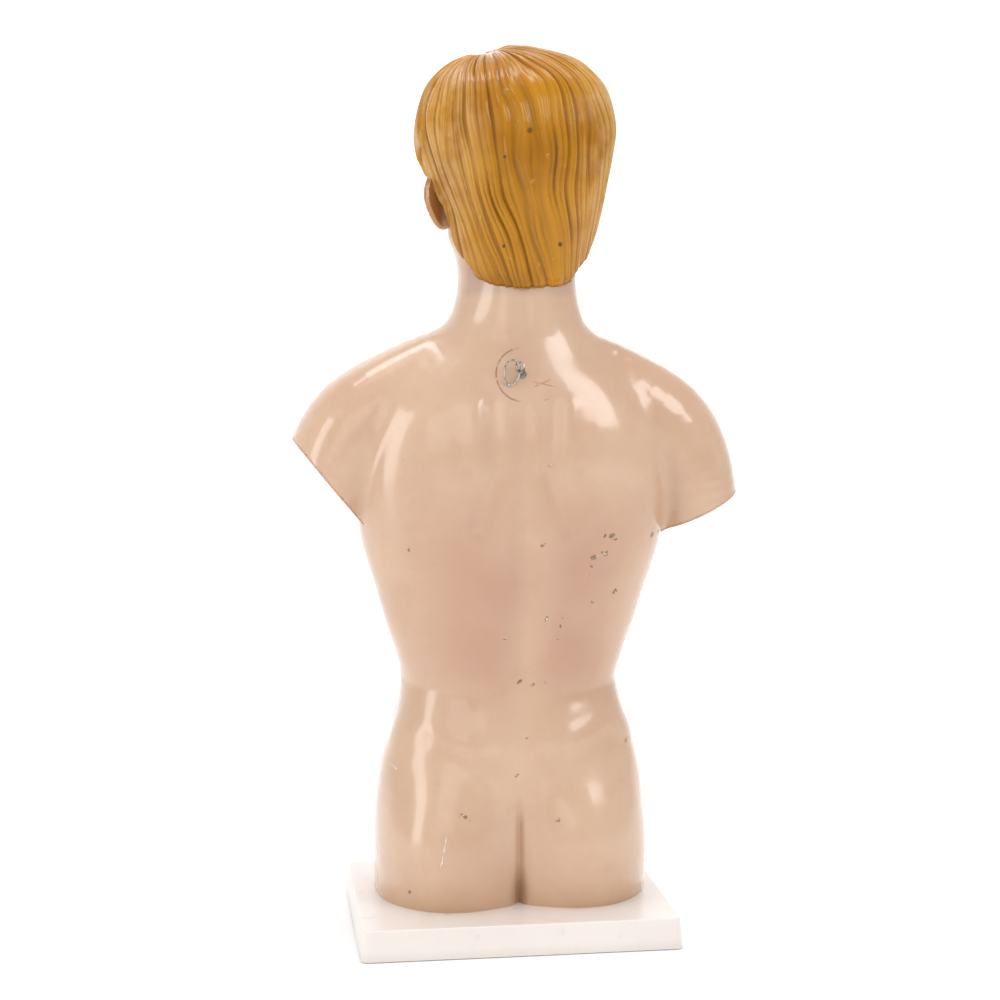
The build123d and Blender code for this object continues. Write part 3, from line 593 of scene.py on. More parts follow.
def shell_bmesh(Vo, Qo, Vi, Qi):
    bm = bmesh.new()
    vs = [bm.verts.new(v) for v in Vo.tolist()]
    for q in Qo.tolist():
        if len(set(q)) == 4:
            try:
                bm.faces.new([vs[i] for i in q]).smooth = True
            except ValueError:
                pass
    vi = [bm.verts.new(v) for v in Vi.tolist()]
    for q in Qi.tolist():
        if len(set(q)) == 4:
            try:
                bm.faces.new([vi[i] for i in reversed(q)]).smooth = True
            except ValueError:
                pass
    bm.normal_update()
    return bm


def bm_object(bm, name):
    bmesh.ops.scale(bm, vec=(MM, MM, MM), verts=bm.verts)
    me = bpy.data.meshes.new(name)
    bm.to_mesh(me)
    bm.free()
    me.update()
    ob = bpy.data.objects.new(name, me)
    bpy.context.scene.collection.objects.link(ob)
    return ob


S = 1.55
FINE = 0.85
gx = axis_steps([(-141.0, -38.0, S), (-38.0, 26.0, FINE * 1.25), (26.0, 133.0, S)])
gy = axis_steps([(-86.0, -46.0, FINE * 1.1), (-46.0, 60.0, S)])
gz = axis_steps([(9.0, 372.0, S), (372.0, 447.0, FINE), (447.0, 500.0, S * 1.2)])
Vo, Qo = contour(body_field, gx, gy, gz)
ix = axis_steps([(-141.0, 133.0, 5.5)])
iy = axis_steps([(-82.0, 60.0, 5.0)])
iz = axis_steps([(4.0, 500.0, 5.5)])
Vi, Qi = contour(inner_field, ix, iy, iz, block=3)
whole = shell_bmesh(Vo, Qo, Vi, Qi)
cut_and_fill(whole, (0, 0, 17.5), (0, 0, -1))
halves = {}
for name, no in (("figure_back", (0, -1, 0)), ("figure_front", (0, 1, 0))):
    half = whole.copy()
    cut_and_fill(half, (0, 0, 0), no)
    loose = [v for v in half.verts if not v.link_faces]
    bmesh.ops.delete(half, geom=loose, context="VERTS")
    sharpen(half)
    halves[name] = bm_object(half, name)
whole.free()
back, front = halves["figure_back"], halves["figure_front"]
for ob, node in ((back, "back_shell"), (front, "front_shell")):
    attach(ob, "figure")
    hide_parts(node)

# plates closing the two arm stumps
caps = []
for side, node in ((1, "arm_cap_left"), (-1, "arm_cap_right")):
    nx, nz = CUT[side][2], CUT[side][3]
    c0 = np.array([CUT[side][0], -8.5, CUT[side][1]])
    nv = np.array([nx, 0.0, nz])
    uv, vv = np.array([0.0, 1.0, 0.0]), np.array([-nz, 0.0, nx])
    na = 200
    ang = np.linspace(0, 2 * np.pi, na, endpoint=False)
    dirs = np.cos(ang)[:, None] * uv + np.sin(ang)[:, None] * vv

    def section(P, side=side):
        x, y, z = P.T
        arm = arm_field(side, x, y, z) - 1.2 * gs(z - 268, 26) * gs((x - X0) * side - 118, 22)
        return np.maximum(smin(trunk_field(x, y, z), arm, 8.0), 0.3 - trunk_field(x, y, z))

    lo, hi = np.full(na, 2.0), np.full(na, 60.0)
    for _ in range(24):
        mid_r = 0.5 * (lo + hi)
        inside = section(c0 - nv * 0.5 * CAP_T + dirs * mid_r[:, None]) < 0
        lo, hi = np.where(inside, mid_r, lo), np.where(inside, hi, mid_r)
    rad = 0.5 * (lo + hi)
    V, F = [], []
    for inset, depth in ((0.30, 0.0), (0.0, -0.30), (0.0, -CAP_T + 0.03)):
        V.append(c0 + nv * depth + dirs * (rad - inset)[:, None])
    V = np.concatenate(V + [[c0], [c0 + nv * (-CAP_T + 0.03)]])
    k = np.arange(na)
    k2 = (k + 1) % na
    for lvl in range(2):
        F += np.stack([lvl * na + k, lvl * na + k2, (lvl + 1) * na + k2, (lvl + 1) * na + k], 1).tolist()
    F += [(3 * na, int(j), int(i)) for i, j in zip(k, k2)]
    F += [(3 * na + 1, int(2 * na + i), int(2 * na + j)) for i, j in zip(k, k2)]
    cap = to_object(node + "_form", V, F)
    bm = bmesh.new()
    bm.from_mesh(cap.data)
    bmesh.ops.recalc_face_normals(bm, faces=bm.faces)
    sharpen(bm, 0.5)
    bm.to_mesh(cap.data)
    bm.free()
    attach(cap, "figure")
    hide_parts(node)
    caps.append(cap)


# ------------------------------------------------------------------ hair
HC = np.array([XH, -8.0, 436.0])
POLE = np.array([XH + 15.0, -1.0, 496.0]) - HC
POLE /= np.linalg.norm(POLE)
SIDE = np.cross((0.0, 1.0, 0.0), POLE)
SIDE /= np.linalg.norm(SIDE)
FORE = np.cross(POLE, SIDE)          # towards +Y at phi = 90 deg

LINE = [(-180, 466), (-165, 467), (-150, 463), (-135, 450), (-122, 437), (-112, 424), (-104, 408), (-97, 396),
        (-90, 388), (-80, 379), (-66, 371), (-50, 364.5), (-30, 362), (-12, 361), (0, 360.5), (12, 361), (30, 362.5),
        (46, 366), (58, 375), (68, 388), (76, 402), (82, 418), (88, 430), (96, 436), (106, 434), (114, 433),
        (122, 437), (135, 449), (150, 462), (165, 466), (180, 466)]
LA, LZ = np.array(LINE, float).T


def hair_direction(theta, phi):
    st = np.sin(theta)
    return (np.cos(theta)[..., None] * POLE + (st * np.cos(phi))[..., None] * SIDE + (st * np.sin(phi))[..., None] * FORE)


def solve_radius(fun, D, lo=8.0, hi=110.0, rounds=26):
    a = np.full(D.shape[:-1], lo)
    b = np.full(D.shape[:-1], hi)
    for _ in range(rounds):
        m = 0.5 * (a + b)
        P = HC + D * m[..., None]
        inside = fun(P[..., 0].ravel(), P[..., 1].ravel(), P[..., 2].ravel()).reshape(m.shape) < 0
        a, b = np.where(inside, m, a), np.where(inside, b, m)
    return 0.5 * (a + b)


def hair_outer(x, y, z):
    f = radial(HAIR, x, y, z) + 5.0 * gs(z - 410, 17) * sstep(20, 38, x - XH) * gs(y - 5, 24)
    return np.maximum(f, z - 499.6)


def skull(x, y, z):
    f = head_field(x, y, z)
    return smin(f, np.maximum(radial(TRUNK, x, y, z), z - 402), 7.0)


def along(P):
    az = np.degrees(np.arctan2(P[..., 0] - XH, P[..., 1] + 6.0))
    return P[..., 2] - np.interp(az, LA, LZ)


NPHI, NS = ((760, 128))
phi = np.linspace(0, 2 * np.pi, NPHI, endpoint=False)
tt = np.linspace(0.15, 3.10, 148)
T, PH = np.meshgrid(tt, phi, indexing="ij")
Dg = hair_direction(T, PH)
Rg = solve_radius(hair_outer, Dg, rounds=18)
hg = along(HC + Dg * Rg[..., None])
below = hg < 0
first = np.argmax(below, axis=0)
i1 = np.clip(first, 1, len(tt) - 1)
h0, h1 = hg[i1 - 1, np.arange(NPHI)], hg[i1, np.arange(NPHI)]
tmax = tt[i1 - 1] + (tt[i1] - tt[i1 - 1]) * h0 / (h0 - h1)
w = np.hanning(13)
w /= w.sum()
tmax = np.convolve(np.concatenate([tmax[-6:], tmax, tmax[:6]]), w, "valid")

s = np.linspace(0, 1, NS + 1)[1:]
s = s ** 0.92
TH = s[:, None] * tmax[None, :]
PHI = np.repeat(phi[None, :], NS, 0)
D = hair_direction(TH, PHI)
Ro = solve_radius(hair_outer, D, rounds=22)
Ri = solve_radius(skull, D, rounds=22) - 0.35


def ridge(t, sharp=0.75):
    """Rounded lock between two narrow grooves, 0..1."""
    return np.abs(np.sin(np.pi * t)) ** sharp


Sg = np.repeat(s[:, None], NPHI, 1)
TAU = 2 * np.pi


def vnoise(u, v, nu, nv, seed):
    """Smooth value noise, periodic in u (0..1), free in v (0..1)."""
    rng = np.random.RandomState(seed)
    g = rng.rand(nu, nv + 2)
    a_, b_ = (u % 1.0) * nu, np.clip(v, 0, 1) * nv
    i, j = np.floor(a_).astype(int) % nu, np.floor(b_).astype(int)
    fu, fv = a_ - np.floor(a_), b_ - j
    fu, fv = fu * fu * (3 - 2 * fu), fv * fv * (3 - 2 * fv)
    i2 = (i + 1) % nu
    return ((g[i, j] * (1 - fu) + g[i2, j] * fu) * (1 - fv) + (g[i, j + 1] * (1 - fu) + g[i2, j + 1] * fu) * fv)


flow = PHI / TAU + 0.012 * np.sin(3.1 * Sg + 2 * PHI) + 0.010 * Sg * np.sin(PHI + 0.6)
flow = flow + 0.040 * (vnoise(PHI / TAU, Sg, 9, 3, 3) - 0.5) * sstep(0.05, 0.4, Sg)
flow = flow + 0.016 * (vnoise(PHI / TAU, Sg, 26, 7, 4) - 0.5) * sstep(0.1, 0.4, Sg)
warp = flow + 0.012 * (vnoise(flow, 0 * Sg, 22, 1, 11) - 0.5) + 0.006 * (vnoise(flow, 0 * Sg, 60, 1, 12) - 0.5)
env = sstep(0.0, 0.16, Sg)
locks = ridge(warp * 44, 0.8)
mid = ridge(warp * 97 + 0.3, 0.85)
fine = ridge(warp * 190 + 0.1, 0.9)
a1 = 0.05 + 1.30 * vnoise(flow, Sg, 40, 5, 21)
a2 = 0.00 + 1.40 * vnoise(flow, Sg, 70, 7, 22)
a3 = 0.20 + 1.10 * vnoise(flow, Sg, 90, 9, 23)
relief = env * (1.7 * a1 * (locks - 0.72) + 1.0 * a2 * (mid - 0.68) + 0.42 * a3 * (fine - 0.6) * sstep(0.10, 0.3, Sg))
# broad tufts swell and overlap their neighbours as they run down
tuft = vnoise(flow, Sg, 15, 3, 31) + 0.5 * vnoise(flow, Sg, 31, 5, 32) - 0.75
relief += 2.6 * tuft * env
# parting: the dent at the crown and its groove towards the front
dP = hair_direction(TH, PHI)
pos = HC + dP * Ro[..., None]
groove = np.sqrt((pos[..., 0] - (XH + 21)) ** 2 + 0.10 * np.minimum(pos[..., 1] - 4, 0) ** 2 * 0 + np.maximum(pos[..., 1] - 6, 0) ** 2)
relief -= 3.0 * np.exp(-(groove / 3.4) ** 2) * (pos[..., 2] > 462)
relief -= 1.5 * np.exp(-(Sg / 0.05) ** 2)
# a proud, rounded lower edge that meets the skin
edge = sstep(0.955, 1.0, Sg)
top = Ro + relief
thick = np.maximum(top - Ri, 1.6)
thick = thick * np.sqrt(np.maximum(1 - 0.80 * edge ** 2, 0.05))
top = Ri + thick
outer = HC + D * top[..., None]
step_i = 4
NI = NS // step_i
si = s[step_i - 1::step_i]
if si[-1] != s[-1]:
    si = np.append(si, s[-1])
idx = np.searchsorted(s, si)
inner = (HC + D * Ri[..., None])[idx]
pole_o = HC + POLE * (solve_radius(hair_outer, POLE[None], rounds=26)[0] - 2.4)
pole_i = HC + POLE * (solve_radius(skull, POLE[None], rounds=26)[0] - 0.35)
V = [pole_o[None], outer.reshape(-1, 3), pole_i[None]]
o0 = 1
i0 = 1 + NS * NPHI + 1
inner = inner[:, ::4]
NPI = inner.shape[1]
V.append(inner.reshape(-1, 3))
V = np.concatenate(V)
F = []
for j in range(NPHI):
    k = (j + 1) % NPHI
    F.append((0, o0 + j, o0 + k))
a = np.arange(NPHI)
b = (a + 1) % NPHI
for r in range(NS - 1):
    u, v = o0 + r * NPHI, o0 + (r + 1) * NPHI
    F += np.stack([u + a, v + a, v + b, u + b], 1).tolist()
ai = np.arange(NPI)
bi = (ai + 1) % NPI
for j in range(NPI):
    F.append((i0 - 1, i0 + (j + 1) % NPI, i0 + j))
for r in range(len(si) - 1):
    u, v = i0 + r * NPI, i0 + (r + 1) * NPI
    F += np.stack([u + ai, u + bi, v + bi, v + ai], 1).tolist()
lo_o = o0 + (NS - 1) * NPHI
lo_i = i0 + (len(si) - 1) * NPI
for j in range(NPI):                 # rim between the dense outer and the sparse inner ring
    k = (j + 1) % NPI
    span = [lo_o + (4 * j + q) % NPHI for q in range(5)]
    F.append((lo_i + j, span[1], span[0]))
    F.append((lo_i + j, span[2], span[1]))
    F.append((lo_i + j, lo_i + k, span[2]))
    F.append((lo_i + k, span[3], span[2]))
    F.append((lo_i + k, span[4], span[3]))
hair = to_object("hair_cap_form", V, F)
bm = bmesh.new()
bm.from_mesh(hair.data)
bmesh.ops.recalc_face_normals(bm, faces=bm.faces)
bm.to_mesh(hair.data)
bm.free()
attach(hair, "figure")
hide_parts("hair_cap")


# ------------------------------------------------------------------ materials
def new_mat(name):
    m = bpy.data.materials.new(name)
    m.use_nodes = True
    nt = m.node_tree
    return m, nt, nt.nodes["Principled BSDF"]


class Nodes:
    """Short helpers for building node networks."""

    def __init__(self, nt):
        self.nt = nt
        self.coord = nt.nodes.new("ShaderNodeNewGeometry").outputs["Position"]

    def link(self, a, b):
        self.nt.links.new(a, b)

    def put(self, sock, v):
        if hasattr(v, "is_linked") or hasattr(v, "links"):
            self.link(v, sock)
        else:
            sock.default_value = v

    def noise(self, scale, detail=4.0, rough=0.55, vec=None, distort=0.0):
        n = self.nt.nodes.new("ShaderNodeTexNoise")
        n.inputs["Scale"].default_value = scale
        n.inputs["Detail"].default_value = detail
        n.inputs["Roughness"].default_value = rough
        n.inputs["Distortion"].default_value = distort
        self.link(vec or self.coord, n.inputs["Vector"])
        return n.outputs["Fac"]

    def math(self, op, a, b=0.0, c=0.0, clamp=False):
        n = self.nt.nodes.new("ShaderNodeMath")
        n.operation = op
        n.use_clamp = clamp
        self.put(n.inputs[0], a)
        self.put(n.inputs[1], b)
        self.put(n.inputs[2], c)
        return n.outputs[0]

    def step(self, v, e0, e1):
        n = self.nt.nodes.new("ShaderNodeMapRange")
        n.interpolation_type = "SMOOTHSTEP"
        n.clamp = True
        self.put(n.inputs["Value"], v)
        n.inputs["From Min"].default_value = e0
        n.inputs["From Max"].default_value = e1
        return n.outputs["Result"]

    def mix(self, fac, a, b):
        n = self.nt.nodes.new("ShaderNodeMix")
        n.data_type = "RGBA"
        self.put(n.inputs["Factor"], fac)
        for sock, v in ((n.inputs[6], a), (n.inputs[7], b)):
            if isinstance(v, tuple):
                sock.default_value = (*v, 1.0)
            else:
                self.link(v, sock)
        return n.outputs[2]

    def split(self, vec=None):
        n = self.nt.nodes.new("ShaderNodeSeparateXYZ")
        self.link(vec or self.coord, n.inputs[0])
        return n.outputs

    def join(self, x, y, z):
        n = self.nt.nodes.new("ShaderNodeCombineXYZ")
        for s_, v in zip(n.inputs, (x, y, z)):
            self.put(s_, v)
        return n.outputs[0]

    def near(self, vec, point, r0, r1):
        """1 inside r0 of a point, falling to 0 at r1 (metres)."""
        n = self.nt.nodes.new("ShaderNodeVectorMath")
        n.operation = "DISTANCE"
        self.link(vec, n.inputs[0])
        n.inputs[1].default_value = point
        return self.step(n.outputs["Value"], r1, r0)

    def bump(self, height, dist, strength, bsdf, prev=None):
        n = self.nt.nodes.new("ShaderNodeBump")
        n.inputs["Distance"].default_value = dist
        n.inputs["Strength"].default_value = strength
        self.link(height, n.inputs["Height"])
        if prev:
            self.link(prev, n.inputs["Normal"])
        return n.outputs["Normal"]


def px_to_xz(px, py, y=0.03):
    """Place of a mark read in the photo, on the back of the figure (metres)."""
    z = np.interp(py, [44.5, 225.4, 403.1, 577.7, 749.2, 833.9, 887.7], [0.5, 0.4, 0.3, 0.2, 0.104, 0.062, 0.028])
    x = (506.7 + 7.6 * y / 0.03 - px) / 1760.0
    return x, z


# (px, py, radius mm) of the paint chips and dents
CHIPS = [(610, 530, 1.5), (655, 532, 1.3), (664, 530, 0.9), (592, 552, 1.7), (605, 548, 1.1), (617, 587, 1.2),
         (593, 597, 1.0), (546, 611, 1.1), (560, 620, 0.9), (540, 537, 0.9), (411, 541, 1.0), (362, 533, 0.9),
         (383, 595, 1.1), (398, 630, 0.9), (520, 676, 1.0), (533, 679, 0.8), (545, 677, 0.9), (463, 814, 1.1),
         (556, 822, 1.0), (410, 893, 1.2), (587, 569, 0.9), (590, 561, 0.8), (597, 549, 0.7), (603, 530, 0.8),
         (614, 534, 0.7), (600, 547, 0.6), (505, 632, 0.7), (633, 745, 0.9), (526, 732, 0.6), (515, 773, 0.6),
         (622, 499, 0.6), (546, 460, 0.7), (561, 612, 0.7), (557, 634, 0.7), (397, 621, 0.7), (399, 641, 0.7),
         (385, 587, 0.6), (379, 596, 0.7), (459, 811, 0.6), (467, 818, 0.6)]
# (x0, y0, x1, y1, half width mm, kind)
SCRATCH = [(378, 755, 400, 770, 0.45, 0), (444, 835, 438, 862, 0.35, 1), (530, 379, 552, 384, 0.4, 2),
           (532, 384, 548, 377, 0.35, 2), (541, 397, 546, 396, 0.4, 2)]


def skin_material(name, cut=False):
    m, nt, bsdf = new_mat(name)
    N = Nodes(nt)
    x, y, z = N.split()
    flat = N.join(x, 0.0, z)
    warp = N.noise(420.0, 2.0)
    jig = N.math("MULTIPLY", N.math("SUBTRACT", warp, 0.5), 0.0046)
    flatw = N.join(N.math("ADD", x, jig), 0.0, N.math("SUBTRACT", z, jig))
    a = (0.632, 0.424, 0.288)
    b = (0.576, 0.362, 0.238)
    if cut:
        a, b = (0.60, 0.36, 0.26), (0.50, 0.27, 0.19)
    col = N.mix(N.step(N.noise(14.0, 5.0, 0.6), 0.35, 0.68), a, b)
    col = N.mix(N.math("MULTIPLY", N.step(N.noise(65.0, 4.0), 0.48, 0.75), 0.35), col, (0.60, 0.37, 0.25))
    if not cut:
        # darker reddish patches: painted shade in the hollows below the shoulder blades, at the small of the back and
        # beside the spine
        painted_shade = None
        for cx, cz, r in ((-0.045, 0.222, 0.05), (0.036, 0.222, 0.05), (0.018, 0.158, 0.035), (-0.028, 0.158, 0.035),
                          (0.005, 0.20, 0.04)):
            g = N.near(flat, (cx, 0.0, cz), 0.0, r)
            painted_shade = g if painted_shade is None else N.math("MAXIMUM", painted_shade, g)
        broad_painted_shade = None
        for cx in (0.019, -0.036):
            g = N.near(N.join(N.math("MULTIPLY", N.math("SUBTRACT", x, cx), 2.1), 0.0, z), (0.0, 0.0, 0.183), 0.010, 0.084)
            broad_painted_shade = g if broad_painted_shade is None else N.math("MAXIMUM", broad_painted_shade, g)
        painted_shade = N.math("ADD", N.math("MULTIPLY", painted_shade, 0.26), N.math("MULTIPLY", broad_painted_shade, 0.52), clamp=True)
        back = N.step(y, 0.006, 0.014)
        painted_shade = N.math("MULTIPLY", painted_shade, N.math("ADD", 0.45, N.math("MULTIPLY", N.step(y, -0.02, 0.02), 0.55)))
        col = N.mix(painted_shade, col, (0.475, 0.245, 0.158))
        # painted purple-grey shadow cast by the hair's overhanging edge onto the neck
        hair_edge_shadow = N.math("MULTIPLY", N.step(N.math("ADD", z, N.math("MULTIPLY", N.noise(90.0), 0.006)), 0.3615, 0.3675), back)
        hair_edge_shadow = N.math("MULTIPLY", hair_edge_shadow, N.step(z, 0.40, 0.385))
        col = N.mix(N.math("MULTIPLY", hair_edge_shadow, 0.38), col, (0.40, 0.27, 0.25))
        # painted brown shade low in the cleft
        cleft = N.math("MULTIPLY", N.near(N.join(N.math("MULTIPLY", x, 3.0), 0.0, N.math("MULTIPLY", z, 1.15)),
                                          (3 * X0 * MM, 0.0, 0.024), 0.0, 0.026), back)
        col = N.mix(N.math("MULTIPLY", cleft, 0.60), col, (0.29, 0.155, 0.075))
        # painted ochre shade along the lower edge of the buttocks, at the back near the plate
        foot_shade = N.math("MULTIPLY", N.step(N.math("ADD", z, N.math("MULTIPLY", N.noise(40.0), 0.02)), 0.048, 0.026), back)
        col = N.mix(N.math("MULTIPLY", foot_shade, 0.30), col, (0.50, 0.31, 0.15))
        chips = None
        for px_, py_, r in CHIPS:
            cx, cz = px_to_xz(px_, py_)
            g = N.near(flatw, (cx, 0.0, cz), r * MM * 0.72, r * MM * 1.2)
            chips = g if chips is None else N.math("MAXIMUM", chips, g)
        chips = N.math("MULTIPLY", chips, back)
        scr = None
        red = None
        for x0_, y0_, x1_, y1_, hw, kind in SCRATCH:
            (ax_, az_), (bx_, bz_) = px_to_xz(x0_, y0_), px_to_xz(x1_, y1_)
            L = math.hypot(bx_ - ax_, bz_ - az_)
            ux, uz = (bx_ - ax_) / L, (bz_ - az_) / L
            dx = N.math("SUBTRACT", x, ax_)
            dz = N.math("SUBTRACT", z, az_)
            al = N.math("ADD", N.math("MULTIPLY", dx, ux), N.math("MULTIPLY", dz, uz))
            ac = N.math("ABSOLUTE", N.math("ADD", N.math("MULTIPLY", dx, -uz), N.math("MULTIPLY", dz, ux)))
            w = N.math("ADD", ac, N.math("MULTIPLY", N.math("SUBTRACT", warp, 0.5), 0.0012))
            line = N.math("MULTIPLY", N.step(w, hw * MM * 1.2, hw * MM * 0.5),
                          N.math("MULTIPLY", N.step(al, -0.0006, 0.0006), N.step(al, L + 0.0006, L - 0.0006)))
            if kind == 2:
                red = line if red is None else N.math("MAXIMUM", red, line)
            else:
                scr = line if scr is None else N.math("MAXIMUM", scr, line)
        scr = N.math("MULTIPLY", scr, back)
        red = N.math("MULTIPLY", red, back)
        arc = N.math("ABSOLUTE", N.math("SUBTRACT", 0.0145, 0.0))
        n = nt.nodes.new("ShaderNodeVectorMath")
        n.operation = "DISTANCE"
        N.link(flat, n.inputs[0])
        n.inputs[1].default_value = (-0.0035, 0.0, 0.3173)
        ring = N.math("ABSOLUTE", N.math("SUBTRACT", n.outputs["Value"], 0.0145))
        worn = N.math("MULTIPLY", N.step(ring, 0.0007, 0.0002), N.step(x, -0.0035, 0.002))
        worn = N.math("MULTIPLY", worn, N.math("MULTIPLY", back, N.step(N.noise(300.0), 0.32, 0.5)))
        col = N.mix(N.math("MULTIPLY", worn, 0.85), col, (0.30, 0.17, 0.10))
        col = N.mix(N.math("MULTIPLY", red, 0.55), col, (0.45, 0.10, 0.07))
        marks = N.math("MAXIMUM", chips, scr)
        # random tiny scuffs
        v = nt.nodes.new("ShaderNodeTexVoronoi")
        v.inputs["Scale"].default_value = 55.0
        N.link(N.coord, v.inputs["Vector"])
        spec = N.math("MULTIPLY", N.step(v.outputs["Distance"], 0.055, 0.03), N.step(N.noise(9.0), 0.52, 0.62))
        marks = N.math("MAXIMUM", marks, N.math("MULTIPLY", spec, 0.6))
        flake = N.step(N.noise(520.0, 2.0), 0.56, 0.66)
        col = N.mix(N.math("MULTIPLY", chips, 0.88), col, N.mix(flake, (0.20, 0.115, 0.065), (0.74, 0.64, 0.52)))
        col = N.mix(N.math("MULTIPLY", scr, 0.8), col, (0.78, 0.74, 0.70))
        col = N.mix(N.math("MULTIPLY", spec, 0.4), col, (0.42, 0.27, 0.18))
        # amber hair paint on the back of the left ear, darkened further as painted shade where the ear is tucked behind
        # the hair
        ear_paint_shade = N.math("MULTIPLY", N.step(x, 0.0345, 0.0375), N.math("MULTIPLY", N.step(z, 0.392, 0.398), N.step(y, -0.0095, -0.0055)))
        ear_paint_shade = N.math("MULTIPLY", ear_paint_shade, N.step(z, 0.442, 0.438))
        nrm = N.split(nt.nodes.new("ShaderNodeNewGeometry").outputs["Normal"])
        ear_paint_shade = N.math("MULTIPLY", ear_paint_shade, N.step(nrm[1], -0.15, 0.25))
        col = N.mix(N.math("MULTIPLY", ear_paint_shade, 0.92), col, (0.42, 0.18, 0.035))
        # painted face
        fy = N.step(y, -0.048, -0.055)
        for sx in (1, -1):
            eye = N.near(N.coord, ((XH + sx * 15.3) * MM, -0.0524, 0.4266), 0.00862, 0.0089)
            col = N.mix(eye, col, (0.82, 0.79, 0.74))
            iris = N.near(flat, ((XH + sx * 15.0) * MM, 0.0, 0.4266), 0.0031, 0.0034)
            col = N.mix(N.math("MULTIPLY", N.math("MULTIPLY", iris, eye), 1.0), col, (0.13, 0.085, 0.05))
            pup = N.near(flat, ((XH + sx * 15.0) * MM, 0.0, 0.4266), 0.0012, 0.0015)
            col = N.mix(N.math("MULTIPLY", pup, eye), col, (0.01, 0.01, 0.01))
            bx = N.math("MULTIPLY", N.math("SUBTRACT", x, (XH + sx * 16.0) * MM), 0.30)
            bz = N.math("SUBTRACT", z, 0.4382)
            arch = N.math("ADD", bz, N.math("MULTIPLY", N.math("MULTIPLY", bx, bx), 160.0))
            brow = N.near(N.join(bx, 0.0, arch), (0.0, 0.0, 0.0), 0.0014, 0.0034)
            brow = N.math("MULTIPLY", N.math("MULTIPLY", brow, fy), N.step(N.noise(900.0, 2.0, vec=N.join(x, 0.0, z)), 0.12, 0.50))
            col = N.mix(N.math("MULTIPLY", brow, 0.85), col, (0.28, 0.15, 0.05))
        lx = N.math("MULTIPLY", N.math("SUBTRACT", x, XH * MM), 0.42)
        lips = N.math("MULTIPLY", N.near(N.join(lx, 0.0, z), (0.0, 0.0, 0.3909), 0.0036, 0.0047), fy)
        col = N.mix(N.math("MULTIPLY", lips, 0.7), col, (0.56, 0.235, 0.185))
        for sx in (1, -1):
            cheek = N.near(N.coord, ((XH + sx * 26) * MM, -0.048, 0.412), 0.0, 0.018)
            col = N.mix(N.math("MULTIPLY", cheek, 0.30), col, (0.70, 0.36, 0.26))
            nip = N.near(N.coord, ((X0 + sx * 44) * MM, -0.0635, 0.259), 0.0038, 0.0068)
            col = N.mix(N.math("MULTIPLY", nip, 0.6), col, (0.50, 0.25, 0.18))
        nt.links.new(col, bsdf.inputs["Base Color"])
        rough = N.math("ADD", 0.17, N.math("MULTIPLY", N.noise(38.0, 5.0), 0.10))
        rough = N.math("ADD", rough, N.math("MULTIPLY", marks, 0.35), clamp=True)
        nt.links.new(rough, bsdf.inputs["Roughness"])
        b1 = N.bump(N.noise(70.0, 3.0), 0.0007, 0.35, bsdf)
        b2 = N.bump(N.math("SUBTRACT", 1.0, marks), 0.0005, 0.7, bsdf, b1)
        nt.links.new(b2, bsdf.inputs["Normal"])
    else:
        nt.links.new(col, bsdf.inputs["Base Color"])
        nt.links.new(N.math("ADD", 0.28, N.math("MULTIPLY", N.noise(60.0), 0.15)), bsdf.inputs["Roughness"])
        nt.links.new(N.bump(N.noise(180.0), 0.0005, 0.4, bsdf), bsdf.inputs["Normal"])
    bsdf.inputs["Coat Weight"].default_value = 0.55
    bsdf.inputs["Coat Roughness"].default_value = 0.10
    bsdf.inputs["Subsurface Weight"].default_value = 0.0
    return m


def hair_material():
    m, nt, bsdf = new_mat("hair_paint")
    N = Nodes(nt)
    col = N.mix(N.step(N.noise(26.0, 4.0), 0.35, 0.7), (0.530, 0.228, 0.008), (0.400, 0.155, 0.004))
    att = nt.nodes.new("ShaderNodeAttribute")
    att.attribute_name = "groove"
    g = att.outputs["Fac"]
    # painted shade darkening the grooves between the locks and along the parting, from the groove attribute
    col = N.mix(N.math("MULTIPLY", g, 0.72), col, (0.200, 0.072, 0.004))
    x, y, z = N.split()
    flat = N.join(x, 0.0, z)
    back = N.step(y, 0.012, 0.020)
    # paler yellow towards the sides of the head: a painted sheen standing in for the grazing reflection of the bright
    # surroundings
    side = N.step(N.math("ABSOLUTE", N.math("SUBTRACT", x, XH * MM)), 0.016, 0.046)
    side = N.math("MULTIPLY", side, N.step(N.noise(60.0, 4.0), 0.30, 0.62))
    col = N.mix(N.math("MULTIPLY", N.math("MULTIPLY", side, 0.55), N.math("SUBTRACT", 1.0, g)), col, (0.72, 0.46, 0.17))
    dots = None
    for px_, py_, r in ((504, 163, 0.9), (506, 248, 1.0), (561, 246, 1.3)):
        cx, cz = px_to_xz(px_, py_, 0.045)
        d = N.near(flat, (cx, 0.0, cz), r * MM * 0.7, r * MM * 1.2)
        dots = d if dots is None else N.math("MAXIMUM", dots, d)
    col = N.mix(N.math("MULTIPLY", N.math("MULTIPLY", dots, back), 0.85), col, (0.06, 0.03, 0.012))
    cx, cz = px_to_xz(527, 138, 0.045)
    chip = N.math("MULTIPLY", N.near(flat, (cx, 0.0, cz), 0.0010, 0.0020), back)
    col = N.mix(N.math("MULTIPLY", chip, 0.75), col, (0.09, 0.045, 0.018))
    tip = N.math("MULTIPLY", N.step(N.noise(160.0, 3.0), 0.66, 0.72), N.math("SUBTRACT", 1.0, g))
    col = N.mix(N.math("MULTIPLY", tip, 0.4), col, (0.68, 0.42, 0.14))
    nt.links.new(col, bsdf.inputs["Base Color"])
    nt.links.new(N.math("ADD", 0.08, N.math("MULTIPLY", N.noise(45.0), 0.14)), bsdf.inputs["Roughness"])
    nt.links.new(N.bump(N.noise(220.0, 3.0), 0.0005, 0.35, bsdf), bsdf.inputs["Normal"])
    bsdf.inputs["Specular IOR Level"].default_value = 0.26
    bsdf.inputs["Coat Weight"].default_value = 0.06
    bsdf.inputs["Coat Roughness"].default_value = 0.08
    return m


